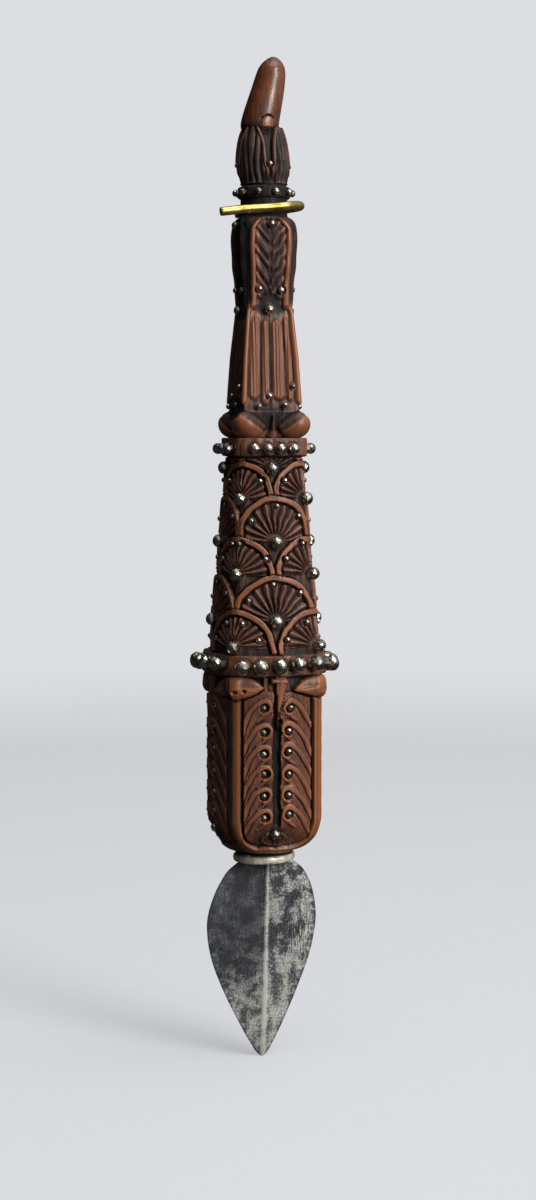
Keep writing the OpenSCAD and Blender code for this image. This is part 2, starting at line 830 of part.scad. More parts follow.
module fluted_shaft() {
    shoulder = 0.5;
    foot_half = shaft_w_low / 2 - 0.6;
    color(wood) translate([0, 0, shaft_z]) difference() {
        union() {
            intersection() {
                crossed(shaft_w_low + 2)
                    polygon([
                        [-foot_half, 0], [foot_half, 0],
                        [shaft_w_low / 2, foot_len],
                        [shaft_w_waist / 2, foot_len + flute_len],
                        [shaft_w_high / 2, neck_z - shaft_z - shoulder],
                        [neck_d / 2, neck_z - shaft_z],
                        [-neck_d / 2, neck_z - shaft_z],
                        [-shaft_w_high / 2, neck_z - shaft_z - shoulder],
                        [-shaft_w_waist / 2, foot_len + flute_len],
                        [-shaft_w_low / 2, foot_len]
                    ]);
                union() {
                    linear_extrude(foot_len + flute_len) square(shaft_w_low + 1, center = true);
                    linear_extrude(neck_z - shaft_z) rounded_square(shaft_w_high, 1);
                }
            }
            for (side = sides) rotate([0, 0, 90 * side]) {
                intersection() {
                    translate([bulb_place, -bulb_place, bulb_r + 0.5]) sphere(bulb_r);
                    translate([0, -bulb_place - bulb_r - 1, 0.1])
                        cube([bulb_place + bulb_r + 1, bulb_place + bulb_r + 1, 2 * bulb_r + 1]);
                }
                translate([0, -foot_half - 0.2, 1.1]) sphere(0.9);
            }
            translate([0, 0, neck_z - shaft_z - 1])
                cylinder(d = neck_d, h = 1 + neck_len);
            translate([0, 0, neck_z - shaft_z])
                cylinder(d = cup_tenon_d, h = neck_len + cup_tenon_in);
        }
        translate([0, 0, -tiny])
            cylinder(d = upper_tenon_d + 2 * fit_gap, h = upper_tenon_in + end_gap);
        for (side = sides) {
            on_side(side, shaft_w_low / 2 - groove_depth, foot_len, flute_lean) {
                linear_extrude(groove_depth + 0.5) flute_grooves();
                for (p = flute_studs)
                    translate([p[0], p[1], groove_depth]) stud_hole(small_stud_d, small_shank);
            }
            on_side(side, shaft_w_waist / 2 - groove_depth, foot_len + flute_len, leaf_lean)
                linear_extrude(groove_depth + 0.6) leaf_strokes();
            on_side(side, shaft_w_waist / 2, foot_len + flute_len, leaf_lean)
                for (p = leaf_studs) translate([p[0], p[1], 0]) stud_hole(p[2], small_shank);
        }
    }
}

module leaf_neck_studs() {
    color(steel) translate([0, 0, leaf_z])
        for (side = sides) on_side(side, shaft_w_waist / 2, 0, leaf_lean)
            for (p = leaf_studs) translate([p[0], p[1], 0]) stud(p[2], small_shank);
}

module shaft_studs() {
    color(steel) translate([0, 0, flute_z])
        for (side = sides) on_side(side, shaft_w_low / 2, 0, flute_lean)
            for (p = flute_studs) translate([p[0], p[1], 0]) stud(small_stud_d, small_shank);
}

// Calyx cup

// Radius of the arc that swells from the ring to the belly and in again to the rim
belly_h = cup_len - bead_ring_h;
belly_sag = (cup_d - cup_rim_d) / 2;
belly_r = (belly_h * belly_h / 4 + belly_sag * belly_sag) / (2 * belly_sag);

module calyx_cup() {
    color(wood) translate([0, 0, cup_z]) difference() {
        union() {
            rotate_extrude() {
                square([bead_ring_d / 2, bead_ring_h]);
                intersection() {
                    translate([cup_d / 2 - belly_r, bead_ring_h + belly_h / 2]) circle(belly_r, $fn = 180);
                    translate([0, bead_ring_h - tiny]) square([cup_d, belly_h + tiny]);
                }
            }
        }
        for (i = [0 : cup_leaves - 1])
            rotate([0, 0, (i + 0.5) * 360 / cup_leaves])
                translate([0, -cup_d / 2 - 0.15, bead_ring_h + 1])
                    cylinder(d = 1, h = belly_h);
        translate([0, 0, -tiny])
            cylinder(d = cup_tenon_d + 2 * fit_gap, h = cup_tenon_in + end_gap);
        translate([horn_foot_x, 0, cup_len - peg_len - end_gap])
            cylinder(d = peg_d + 2 * fit_gap, h = peg_len + 1);
        for (side = sides) on_side(side, calyx_stud_half, calyx_stud_h)
            stud_hole(small_stud_d, small_shank);
        for (i = [0 : bead_count - 1])
            rotate([0, 0, (i + bead_turn) * 360 / bead_count])
                translate([0, -bead_ring_d / 2 + 0.1, bead_h])
                    rotate([90, 0, 0]) stud_hole(bead_d, small_shank);
    }
}

calyx_stud_half = cup_d / 2 - 0.35;

module calyx_studs() {
    color(steel) translate([0, 0, cup_z])
        for (side = sides) on_side(side, calyx_stud_half, calyx_stud_h)
            stud(small_stud_d, small_shank);
}

module bead_ring_studs() {
    color(steel) translate([0, 0, cup_z])
        for (i = [0 : bead_count - 1])
            rotate([0, 0, (i + bead_turn) * 360 / bead_count])
                translate([0, -bead_ring_d / 2 + 0.1, bead_h])
                    rotate([90, 0, 0]) stud(bead_d, small_shank);
}

// Finial horn

horn_sides = 24;
horn_body_rings = 6;
horn_cap_rings = 5;
horn_body_len = horn_len - horn_tip_r;

// Rings of the horn as [height, radius, sideways place]: a tapering body, then a round cap
horn_rings = concat(
    [
        for (i = [0 : horn_body_rings - 1])
            let (t = i / horn_body_rings)
                [
                    t * horn_body_len,
                    horn_d / 2 + (horn_tip_r - horn_d / 2) * pow(t, 1.6),
                    horn_foot_x + (horn_tip_x - horn_foot_x) * pow(t, 0.85)
                ]
    ],
    [
        for (i = [0 : horn_cap_rings - 1])
            let (a = i * 86 / (horn_cap_rings - 1))
                [horn_body_len + horn_tip_r * sin(a), horn_tip_r * cos(a), horn_tip_x]
    ]
);

module finial_horn() {
    color("#8a4522") translate([0, 0, horn_z]) {
        polyhedron(
            [
                for (ring = horn_rings, j = [0 : horn_sides - 1])
                    let (a = 360 * j / horn_sides)
                        [ring[2] + ring[1] * cos(a), ring[1] * sin(a), ring[0]]
            ],
            ring_faces(len(horn_rings), horn_sides)
        );
        translate([horn_foot_x, 0, -peg_len]) cylinder(d = peg_d, h = peg_len + 1);
    }
}

// Brass wire clip: an open U, hung in the neck and tilted a little
clip_z = neck_z + neck_len / 2 - 0.1;

module neck_clip() {
    color(brass)
        translate([0, 0, clip_z])
            rotate([0, -wire_tilt, 0]) {
                translate([bend_x, -bend_r, 0]) rotate([0, -90, 0])
                    cylinder(d = wire_d, h = front_leg + bend_x);
                translate([bend_x, 0, 0]) rotate([0, 0, -90])
                    rotate_extrude(angle = 180) translate([bend_r, 0]) circle(d = wire_d);
                translate([bend_x, bend_r, 0]) rotate([0, -90, 0])
                    cylinder(d = wire_d, h = back_leg + bend_x);
            }
}

finial_horn();
calyx_cup();
bead_ring_studs();
calyx_studs();
neck_clip();
fluted_shaft();
leaf_neck_studs();
shaft_studs();
upper_collar();
upper_collar_studs();
scale_section();
scale_face_studs();
scale_corner_studs();
scale_small_studs();
lower_collar();
lower_collar_studs();
grip();
grip_eye_studs();
grip_foot_studs();
ferrule();
tang_cement();
blade();
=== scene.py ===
import bpy
import math
import numpy as np
from mathutils import Euler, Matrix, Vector


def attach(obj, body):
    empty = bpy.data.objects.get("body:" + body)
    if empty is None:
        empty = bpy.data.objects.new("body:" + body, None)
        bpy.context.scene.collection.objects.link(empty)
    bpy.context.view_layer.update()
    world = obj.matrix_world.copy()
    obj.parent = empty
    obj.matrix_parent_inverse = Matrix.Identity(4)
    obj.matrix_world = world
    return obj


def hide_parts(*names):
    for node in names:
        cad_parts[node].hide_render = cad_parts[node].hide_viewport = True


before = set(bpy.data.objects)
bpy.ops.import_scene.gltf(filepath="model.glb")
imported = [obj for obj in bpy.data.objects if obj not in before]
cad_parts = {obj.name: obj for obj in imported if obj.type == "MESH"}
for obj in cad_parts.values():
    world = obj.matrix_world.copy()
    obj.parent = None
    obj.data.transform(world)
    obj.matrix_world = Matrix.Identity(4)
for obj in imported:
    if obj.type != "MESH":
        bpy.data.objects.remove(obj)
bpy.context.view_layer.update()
print("frame loaded")

mm = 0.001

# The camera stands a little left of the front and looks slightly down
camera = {
    "azimuth": -16.0,
    "yaw": -16.1,
    "distance": 350,
    "height": 96,
    "pitch": -4.32,
    "lens": 70.11,
}


def addCamera():
    turn = math.radians(camera["azimuth"])
    data = bpy.data.cameras.new("camera")
    data.lens = camera["lens"]
    data.sensor_width = 36
    data.clip_start = 0.01
    piece = bpy.data.objects.new("camera", data)
    piece.location = (
        math.sin(turn) * camera["distance"] * mm,
        -math.cos(turn) * camera["distance"] * mm,
        camera["height"] * mm,
    )
    piece.rotation_euler = (math.radians(90 + camera["pitch"]), 0, math.radians(camera["yaw"]))
    bpy.context.collection.objects.link(piece)
    bpy.context.scene.camera = piece


addCamera()

# Materials


def linear(hexColour):
    out = []
    for i in (1, 3, 5):
        c = int(hexColour[i:i + 2], 16) / 255
        out.append(c / 12.92 if c <= 0.04045 else ((c + 0.055) / 1.055) ** 2.4)
    return out + [1.0]


def newMaterial(name):
    material = bpy.data.materials.new(name)
    material.use_nodes = True
    tree = material.node_tree
    tree.nodes.clear()
    return material, tree


# An input takes a value or another node's output. Stops are the places and colours of a ramp.
def addNode(tree, kind, settings=None, inputs=None, stops=()):
    node = tree.nodes.new("ShaderNode" + kind)
    for key, value in (settings or {}).items():
        setattr(node, key, value)
    for key, value in (inputs or {}).items():
        if isinstance(value, bpy.types.NodeSocket):
            tree.links.new(value, node.inputs[key])
        else:
            node.inputs[key].default_value = value
    for _ in stops[2:]:
        node.color_ramp.elements.new(0.5)
    for number, (place, colour) in enumerate(stops):
        node.color_ramp.elements[number].position = place
        node.color_ramp.elements[number].color = linear(colour)
    return node


# Boxwood, stained red-brown, cut with gouges and waxed. The cuts hold dark wax and dirt,
# and the high edges are rubbed back to orange wood with a soft shine.
woodLook = {
    # From the bottom of the cuts to the crests
    "tones": [(0.12, "#0f0c0e"), (0.36, "#2c1d19"), (0.6, "#5a392d"), (0.85, "#7d4d37")],
    "rubbed": "#a6653b",
    "rubbedShare": 0.75,
    "grainWidth": 0.42,
    "grainLength": 6.0,
    "grainTone": 0.17,
    "patchSize": 2.2,
    "patchTone": 0.12,
    "markSize": 0.22,
    "markDepth": 0.05,
    "crestRoughness": 0.38,
    "recessRoughness": 0.88,
    "shine": 0.42,
    "wax": 0.1,
    "waxRoughness": 0.18,
}


def carvedWood(name, look):
    material, tree = newMaterial(name)
    place = addNode(tree, "TexCoord").outputs["Object"]
    # The carving keeps its height in X and its wear in Y; on some parts both also carry painted light and
    # shade
    finish = addNode(tree, "Attribute", {"attribute_name": "carving"}).outputs["Vector"]
    carving = addNode(tree, "SeparateXYZ", inputs={"Vector": finish}).outputs
    # Fibres run up the handle, so the noise is stretched along Z
    across, along = 1 / (look["grainWidth"] * mm), 1 / (look["grainLength"] * mm)
    fibres = addNode(tree, "Mapping", inputs={"Vector": place, "Scale": (across, across, along)})
    grain = addNode(tree, "TexNoise", inputs={
        "Vector": fibres.outputs["Vector"], "Scale": 1.0, "Detail": 4.0, "Roughness": 0.6}).outputs["Fac"]
    patches = addNode(tree, "TexNoise", inputs={
        "Vector": place, "Scale": 1 / (look["patchSize"] * mm), "Detail": 3.0, "Roughness": 0.55})
    marks = addNode(tree, "TexNoise", inputs={
        "Vector": place, "Scale": 1 / (look["markSize"] * mm), "Detail": 3.0, "Roughness": 0.6})
    # Height, unsettled a little by patches of old wax and by the grain
    height = carving["X"]
    for uneven, most in ((patches.outputs["Fac"], look["patchTone"]), (grain, look["grainTone"])):
        lift = addNode(tree, "MapRange", inputs={
            "Value": uneven, "From Min": 0.3, "From Max": 0.7, "To Min": -most, "To Max": most})
        height = addNode(tree, "Math", {"operation": "ADD"}, {
            0: height, 1: lift.outputs["Result"]}).outputs[0]
    tone = addNode(tree, "ValToRGB", inputs={"Fac": height}, stops=look["tones"])
    wearAndPaintedLight = addNode(tree, "MapRange", inputs={
        "Value": carving["Y"], "From Min": 0.55, "From Max": 0.95, "To Max": look["rubbedShare"]})
    colour = addNode(tree, "Mix", {"data_type": "RGBA"}, {
        "Factor": wearAndPaintedLight.outputs["Result"], "A": tone.outputs["Color"], "B": linear(look["rubbed"])})
    roughness = addNode(tree, "MapRange", inputs={
        "Value": height, "From Min": 0.2, "From Max": 0.8,
        "To Min": look["recessRoughness"], "To Max": look["crestRoughness"]})
    cuts = addNode(tree, "Math", {"operation": "ADD"}, {0: marks.outputs["Fac"], 1: grain})
    bump = addNode(tree, "Bump", inputs={
        "Height": cuts.outputs[0], "Strength": 0.35, "Distance": look["markDepth"] * mm})
    shader = addNode(tree, "BsdfPrincipled", inputs={
        "Base Color": colour.outputs["Result"],
        "Roughness": roughness.outputs["Result"],
        "Normal": bump.outputs["Normal"],
        "Specular IOR Level": look["shine"],
        "Coat Weight": look["wax"],
        "Coat Roughness": look["waxRoughness"],
    })
    addNode(tree, "OutputMaterial", inputs={"Surface": shader.outputs["BSDF"]})
    return material


# The same boxwood, polished smooth by the hand
hornLook = dict(
    woodLook, tones=[(0.12, "#190a06"), (0.36, "#35160d"), (0.6, "#66341c"), (0.85, "#8c5026")],
    markSize=0.6, crestRoughness=0.24, recessRoughness=0.74, wax=0.42)

# Hardened steel, cut into facets and polished, a little dulled by age
studLook = {
    "tones": [(0.34, "#69665b"), (0.5, "#aaa799"), (0.66, "#e4e2d8")],
    "stain": 0.9,
    "stainRoughness": 0.34,
    "roughness": 0.16,
}


def cutSteel(name, look):
    material, tree = newMaterial(name)
    place = addNode(tree, "TexCoord").outputs["Object"]
    stain = addNode(tree, "TexNoise", inputs={
        "Vector": place, "Scale": 1 / (look["stain"] * mm), "Detail": 3.0, "Roughness": 0.5}).outputs["Fac"]
    tone = addNode(tree, "ValToRGB", inputs={"Fac": stain}, stops=look["tones"])
    roughness = addNode(tree, "MapRange", inputs={
        "Value": stain, "From Min": 0.35, "From Max": 0.65,
        "To Min": look["stainRoughness"], "To Max": look["roughness"]})
    shader = addNode(tree, "BsdfPrincipled", inputs={
        "Base Color": tone.outputs["Color"], "Metallic": 1.0, "Roughness": roughness.outputs["Result"]})
    addNode(tree, "OutputMaterial", inputs={"Surface": shader.outputs["BSDF"]})
    return material


# Forged and ground carbon steel: charcoal oxide in clouds and fine specks, rubbed bare on the
# ridge and the point, with short upright scratches. The patina is dull, so it is mostly no mirror.
bladeLook = {
    "tones": [(0.05, "#2b2c30"), (0.33, "#4f5053"), (0.62, "#999a96"), (0.95, "#e0dfd2")],
    "cloudSize": 2.6,
    "cloudTone": 0.28,
    "speckSize": 0.26,
    "speckTone": 0.2,
    "scratchWidth": 0.13,
    "scratchLength": 2.2,
    "scratchTone": 0.4,
    "metal": 0.35,
    "oxideRoughness": 0.6,
    "bareRoughness": 0.36,
    "pitDepth": 0.04,
}


def oldBladeSteel(name, look):
    material, tree = newMaterial(name)
    place = addNode(tree, "TexCoord").outputs["Object"]
    # The blade keeps how bare it is in X, with some painted light on its right half, how scratched in Y and
    # how mottled in Z
    finish = addNode(tree, "Attribute", {"attribute_name": "carving"}).outputs["Vector"]
    carving = addNode(tree, "SeparateXYZ", inputs={"Vector": finish}).outputs
    clouds = addNode(tree, "TexNoise", inputs={
        "Vector": place, "Scale": 1 / (look["cloudSize"] * mm), "Detail": 5.0, "Roughness": 0.65})
    specks = addNode(tree, "TexNoise", inputs={
        "Vector": place, "Scale": 1 / (look["speckSize"] * mm), "Detail": 4.0, "Roughness": 0.75})
    across, along = 1 / (look["scratchWidth"] * mm), 1 / (look["scratchLength"] * mm)
    stretched = addNode(tree, "Mapping", inputs={"Vector": place, "Scale": (across, across, along)})
    scratches = addNode(tree, "TexNoise", inputs={
        "Vector": stretched.outputs["Vector"], "Scale": 1.0, "Detail": 2.0})
    # Crisp edges round the spots: each noise is steepened about its middle value
    spots = []
    for noise, soft, most in (
            (clouds, 0.09, look["cloudTone"]), (specks, 0.10, look["speckTone"]),
            (scratches, 0.08, look["scratchTone"])):
        spots.append(addNode(tree, "MapRange", {"interpolation_type": "SMOOTHSTEP"}, {
            "Value": noise.outputs["Fac"], "From Min": 0.5 - soft, "From Max": 0.5 + soft,
            "To Min": -most, "To Max": most}).outputs["Result"])
    stains = addNode(tree, "Math", {"operation": "ADD"}, {0: spots[0], 1: spots[1]})
    mottle = addNode(tree, "Math", {"operation": "MULTIPLY"}, {0: stains.outputs[0], 1: carving["Z"]})
    lines = addNode(tree, "Math", {"operation": "MULTIPLY"}, {0: spots[2], 1: carving["Y"]})
    marked = addNode(tree, "Math", {"operation": "ADD"}, {0: mottle.outputs[0], 1: lines.outputs[0]})
    wearAndPaintedLight = addNode(tree, "Math", {"operation": "ADD"}, {0: marked.outputs[0], 1: carving["X"]}).outputs[0]
    tone = addNode(tree, "ValToRGB", inputs={"Fac": wearAndPaintedLight}, stops=look["tones"])
    roughness = addNode(tree, "MapRange", inputs={
        "Value": wearAndPaintedLight, "From Min": 0.2, "From Max": 0.9,
        "To Min": look["oxideRoughness"], "To Max": look["bareRoughness"]})
    bump = addNode(tree, "Bump", inputs={
        "Height": specks.outputs["Fac"], "Strength": 0.35, "Distance": look["pitDepth"] * mm})
    shader = addNode(tree, "BsdfPrincipled", inputs={
        "Base Color": tone.outputs["Color"], "Metallic": look["metal"],
        "Roughness": roughness.outputs["Result"], "Normal": bump.outputs["Normal"]})
    addNode(tree, "OutputMaterial", inputs={"Surface": shader.outputs["BSDF"]})
    return material


# Brass: pale and hammered thin for the ferrule, drawn for the wire. Both are bright where handled.
ferruleLook = {
    "tones": [(0.35, "#b9b193"), (0.6, "#fdf8e2")],
    "stain": 0.9,
    "metal": 0.25,
    "stainRoughness": 0.39,
    "roughness": 0.27,
    "dentDepth": 0.02,
}
wireLook = dict(
    ferruleLook, tones=[(0.35, "#8d7834"), (0.6, "#d6c27c")],
    stain=3.5, metal=0.85, stainRoughness=0.32, roughness=0.2)


def handledMetal(name, look):
    material, tree = newMaterial(name)
    place = addNode(tree, "TexCoord").outputs["Object"]
    stain = addNode(tree, "TexNoise", inputs={
        "Vector": place, "Scale": 1 / (look["stain"] * mm), "Detail": 4.0, "Roughness": 0.6}).outputs["Fac"]
    tone = addNode(tree, "ValToRGB", inputs={"Fac": stain}, stops=look["tones"])
    roughness = addNode(tree, "MapRange", inputs={
        "Value": stain, "From Min": 0.3, "From Max": 0.7,
        "To Min": look["stainRoughness"], "To Max": look["roughness"]})
    bump = addNode(tree, "Bump", inputs={
        "Height": stain, "Strength": 0.2, "Distance": look["dentDepth"] * mm})
    shader = addNode(tree, "BsdfPrincipled", inputs={
        "Base Color": tone.outputs["Color"], "Metallic": look["metal"],
        "Roughness": roughness.outputs["Result"], "Normal": bump.outputs["Normal"]})
    addNode(tree, "OutputMaterial", inputs={"Surface": shader.outputs["BSDF"]})
    return material


# Cutler's resin: pitch and brick dust, melted into the bore, dark and dull
resinLook = {"tones": [(0.3, "#160d08"), (0.7, "#37210f")], "grit": 0.3, "roughness": 0.6}


def darkResin(name, look):
    material, tree = newMaterial(name)
    place = addNode(tree, "TexCoord").outputs["Object"]
    grit = addNode(tree, "TexNoise", inputs={
        "Vector": place, "Scale": 1 / (look["grit"] * mm), "Detail": 3.0})
    tone = addNode(tree, "ValToRGB", inputs={"Fac": grit.outputs["Fac"]}, stops=look["tones"])
    shader = addNode(tree, "BsdfPrincipled", inputs={
        "Base Color": tone.outputs["Color"], "Roughness": look["roughness"]})
    addNode(tree, "OutputMaterial", inputs={"Surface": shader.outputs["BSDF"]})
    return material


slotMaterials = {
    "carved_wood": carvedWood("carvedBoxwood", woodLook),
    "horn_wood": carvedWood("polishedBoxwood", hornLook),
    "stud_steel": cutSteel("cutStudSteel", studLook),
    "blade_steel": oldBladeSteel("oldBladeSteel", bladeLook),
    "ferrule_metal": handledMetal("paleFerruleBrass", ferruleLook),
    "wire_brass": handledMetal("drawnWireBrass", wireLook),
}
resin = darkResin("cutlersResin", resinLook)
print("materials made")

# Shared modelling helpers


def smoothStep(low, high, x):
    t = np.clip((x - low) / (high - low), 0, 1)
    return t * t * (3 - 2 * t)


def mix(a, b, share):
    return a * (1 - share) + b * share


def valueAt(z, points):
    # Between the given pairs of a height and its value
    heights, values = zip(*points)
    return np.interp(z, heights, values)


# Height across a raised band: 1 on its middle line and 0 at its edges, rounder with a low power
def ridge(distance, width, power=0.6):
    t = np.clip(np.abs(distance) / (width / 2), 0, 1)
    return (1 - t * t) ** power


def softMin(a, b, soft):
    h = np.clip(0.5 + 0.5 * (b - a) / soft, 0, 1)
    return b * (1 - h) + a * h - soft * h * (1 - h)


def softMax(a, b, soft):
    return -softMin(-a, -b, soft)


def blurred(grid, reach):
    # Mean over a square window, wrapped round the piece and held at its ends
    steps = range(-reach, reach + 1)
    rows = np.arange(len(grid))
    across = sum(np.roll(grid, step, axis=1) for step in steps) / len(steps)
    return sum(across[np.clip(rows + step, 0, len(grid) - 1)] for step in steps) / len(steps)


def clearSelection():
    bpy.ops.object.select_all(action="DESELECT")


def editing(on):
    bpy.ops.object.mode_set(mode="EDIT" if on else "OBJECT")


def activate(piece):
    clearSelection()
    piece.select_set(True)
    bpy.context.view_layer.objects.active = piece


def dress(piece, slot, node, body="handle"):
    piece.data.materials.clear()
    piece.data.materials.append(slotMaterials[slot])
    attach(piece, body)
    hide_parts(node)


def readAll(items, key, width, kind=float):
    values = np.empty(len(items) * width, dtype=kind)
    items.foreach_get(key, values)
    return values.reshape(-1, width)


# A cylinder is cut into rows, and its points are then laid on the surface that place() gives.
# place(turn, rise) takes the turn from -180 to 180 degrees with 0 at the front, and the rise
# from 0 to 1, and returns X, Y, Z in mm and the values that the finish follows.
def shapedTube(name, around, cuts, place):
    clearSelection()
    bpy.ops.mesh.primitive_cylinder_add(vertices=around, radius=1, depth=1, end_fill_type="NGON")
    piece = bpy.context.object
    mesh = piece.data
    piece.name = mesh.name = name
    for count in cuts:
        heights = readAll(mesh.vertices, "co", 3)[:, 2]
        ends = readAll(mesh.edges, "vertices", 2, int)
        upright = np.abs(heights[ends[:, 0]] - heights[ends[:, 1]]) > 1e-5
        editing(True)
        bpy.ops.mesh.select_mode(type="EDGE")
        bpy.ops.mesh.select_all(action="DESELECT")
        editing(False)
        mesh.edges.foreach_set("select", upright)
        editing(True)
        bpy.ops.mesh.subdivide(number_cuts=count)
        editing(False)
    points = readAll(mesh.vertices, "co", 3)
    turn = np.degrees(np.arctan2(points[:, 0], -points[:, 1]))
    turn = np.where(turn > 180 - 1e-3, turn - 360, turn)
    rise = np.clip(points[:, 2] + 0.5, 0, 1)
    order = np.lexsort((turn, np.round(rise, 5)))
    shape = (len(order) // around, around)
    x, y, z, finish = place(turn[order].reshape(shape), rise[order].reshape(shape))
    points[order] = np.stack([x, y, z], axis=-1).reshape(-1, 3) * mm
    mesh.vertices.foreach_set("co", points.ravel())
    values = np.zeros((len(points), 3))
    values[order] = np.stack(finish, axis=-1).reshape(-1, 3)
    attribute = mesh.attributes.new("carving", "FLOAT_VECTOR", "POINT")
    attribute.data.foreach_set("vector", values.ravel())
    mesh.update()
    bpy.ops.object.shade_smooth_by_angle(angle=math.radians(70))
    return piece


# The finish follows the cut: dark where dirt stays, red on open ground, orange on rubbed edges.
# It adds extra, which on some parts is painted light and shade, to both, and returns the tone and the wear,
# both from 0 to 1, and an empty third value.
def carvedFinish(relief, reach, extra):
    near = relief - blurred(relief, reach)
    cavity = smoothStep(0.03, 0.26, -near)
    crest = smoothStep(0.02, 0.26, near)
    depth = smoothStep(-1.0, -0.15, relief)
    tone = 0.32 + 0.32 * depth - 0.55 * cavity + 0.16 * crest + extra
    wear = smoothStep(-0.28, 0.02, relief) * 0.45 + 0.5 * crest + extra
    return [np.clip(tone, 0, 1), np.clip(wear, 0, 1), np.zeros_like(relief)]


# Square block with round edges and swollen sides. half(z), edge(z) and swell(z) give its size
# at each height. On each side, s runs across from its middle and fromEdge in from its edges.
# relief(side, s, fromEdge, z) returns how far the carving stands out from the plain side, and
# extra, with the same four values, how much lighter or darker than usual its finish is.
# neck is the radius of a round neck inside the block, and reach is how many points away the
# finish looks for cuts. hand is the share by which the carving wanders from its lines.
def squareBlock(name, around, cuts, heights, half, edge, swell, relief, extra, neck=0, reach=4, hand=1):
    def place(turn, rise):
        z = np.interp(rise, np.linspace(0, 1, len(heights)), heights)
        side = np.round(turn / 90)
        number = side.astype(int) % 4
        r = np.minimum(edge(z), half(z))
        flat = half(z) - r
        reachAcross = flat + r * math.pi / 4
        s = (turn - side * 90) / 45 * reachAcross
        fromEdge = reachAcross - np.abs(s)
        bend = np.clip((np.abs(s) - flat) / r, 0, math.pi / 4)
        x = np.sign(s) * np.where(bend > 0, flat + r * np.sin(bend), np.abs(s))
        corner = flat + r * math.sqrt(0.5)
        y = -flat - r * np.cos(bend) - swell(z) * (1 - (x / corner) ** 2)
        lean = np.arctan(2 * swell(z) * np.abs(x) / corner ** 2)
        lean = np.sign(s) * (lean + bend * (1 - lean / (math.pi / 4)))
        if neck:
            # A round neck shows where it is thicker than the block
            far = np.hypot(x, y)
            grown = softMax(far, neck, 0.35) / far
            x, y = x * grown, y * grown
        inside = (rise > 0) & (rise < 1)
        wandered = s + hand * (0.07 * np.sin(z * 1.1 + number * 2) + 0.05 * np.sin(z * 2.7 + s))
        height = z + hand * 0.07 * np.sin(s * 1.3 + number) * inside
        carving = relief(number, wandered, fromEdge, height)
        finish = carvedFinish(carving, reach, extra(number, wandered, fromEdge, height))
        # The carving stands square to a side that also leans inward or outward with height
        slope = np.clip((half(z + 0.05) - half(z - 0.05)) / 0.1, -1.5, 1.5)
        outward = carving / np.sqrt(1 + slope * slope)
        px = x + np.sin(lean) * outward
        py = y - np.cos(lean) * outward
        pz = z - slope * outward * inside
        c, d = np.cos(np.radians(side * 90)), np.sin(np.radians(side * 90))
        return px * c - py * d, px * d + py * c, pz, finish
    return shapedTube(name, around, cuts, place)


def onSide(side, across, out, z):
    # Point on a side, at a distance across it and out from the axis
    a = math.radians(side * 90)
    return across * math.cos(a) + out * math.sin(a), across * math.sin(a) - out * math.cos(a), z


# Place and direction of a stud on a swollen side, sunk by a depth into its surface
def onSwell(side, across, half, swell, depth, z):
    out = half + swell * (1 - (across / half) ** 2) - depth
    turn = side * 90 + math.degrees(math.atan(2 * swell * across / half ** 2))
    return (*onSide(side, across, out, z), turn)


def seat(relief, distance, radius, depth):
    # Flat countersink round a stud, so that its head sits in a dark ring
    return mix(depth, relief, smoothStep(radius + 0.08, radius + 0.34, distance))


# Studs: a rose-cut head on a short shank, modelled once and copied

stud = {
    "sides": 8,
    "shank": 0.9,
    "rise": 0.6,
    "table": 0.35,
    "rings": [(1.0, 0.34), (0.86, 0.66), (0.52, 0.92)],
    "tilt": 5,
}


def oneStud():
    # Head of unit radius standing on Z = 0, each ring turned half a facet from the last
    clearSelection()
    shank = stud["shank"]
    bpy.ops.mesh.primitive_cylinder_add(
        vertices=stud["sides"], radius=shank, depth=shank, location=(0, 0, -shank / 2))
    piece = bpy.context.object
    editing(True)
    bpy.ops.mesh.select_mode(type="FACE")
    bpy.ops.mesh.select_all(action="DESELECT")
    editing(False)
    for face in piece.data.polygons:
        face.select = face.normal.z > 0.9
    editing(True)

    def nextRing(rise, share, top):
        bpy.ops.mesh.extrude_region_move(TRANSFORM_OT_translate={"value": (0, 0, rise)})
        bpy.ops.transform.resize(value=(share, share, 1), center_override=(0, 0, top))

    level, radius = 0, shank
    for ringRadius, height in stud["rings"]:
        top = height * 2 * stud["rise"]
        nextRing((height - level) * 2 * stud["rise"], ringRadius / radius, top)
        bpy.ops.transform.rotate(
            value=math.pi / stud["sides"], orient_axis="Z", center_override=(0, 0, top))
        level, radius = height, ringRadius
    nextRing((1 - level) * 2 * stud["rise"], stud["table"], 2 * stud["rise"])
    bpy.ops.mesh.select_all(action="SELECT")
    bpy.ops.mesh.quads_convert_to_tris()
    bpy.ops.mesh.normals_make_consistent(inside=False)
    editing(False)
    bpy.ops.object.shade_flat()
    return piece


pattern = oneStud()
patternMesh = pattern.data.copy()
bpy.data.objects.remove(pattern)


def studTurn(turn, lean, wobble, spin):
    # Spin the facets, lay the stud along -Y, lean it, then turn it to its side
    stand = Euler((math.radians(90 - lean) + wobble[0], 0, 0)).to_quaternion()
    aside = Euler((0, 0, math.radians(turn) + wobble[1])).to_quaternion()
    return aside @ stand @ Euler((0, 0, spin)).to_quaternion()


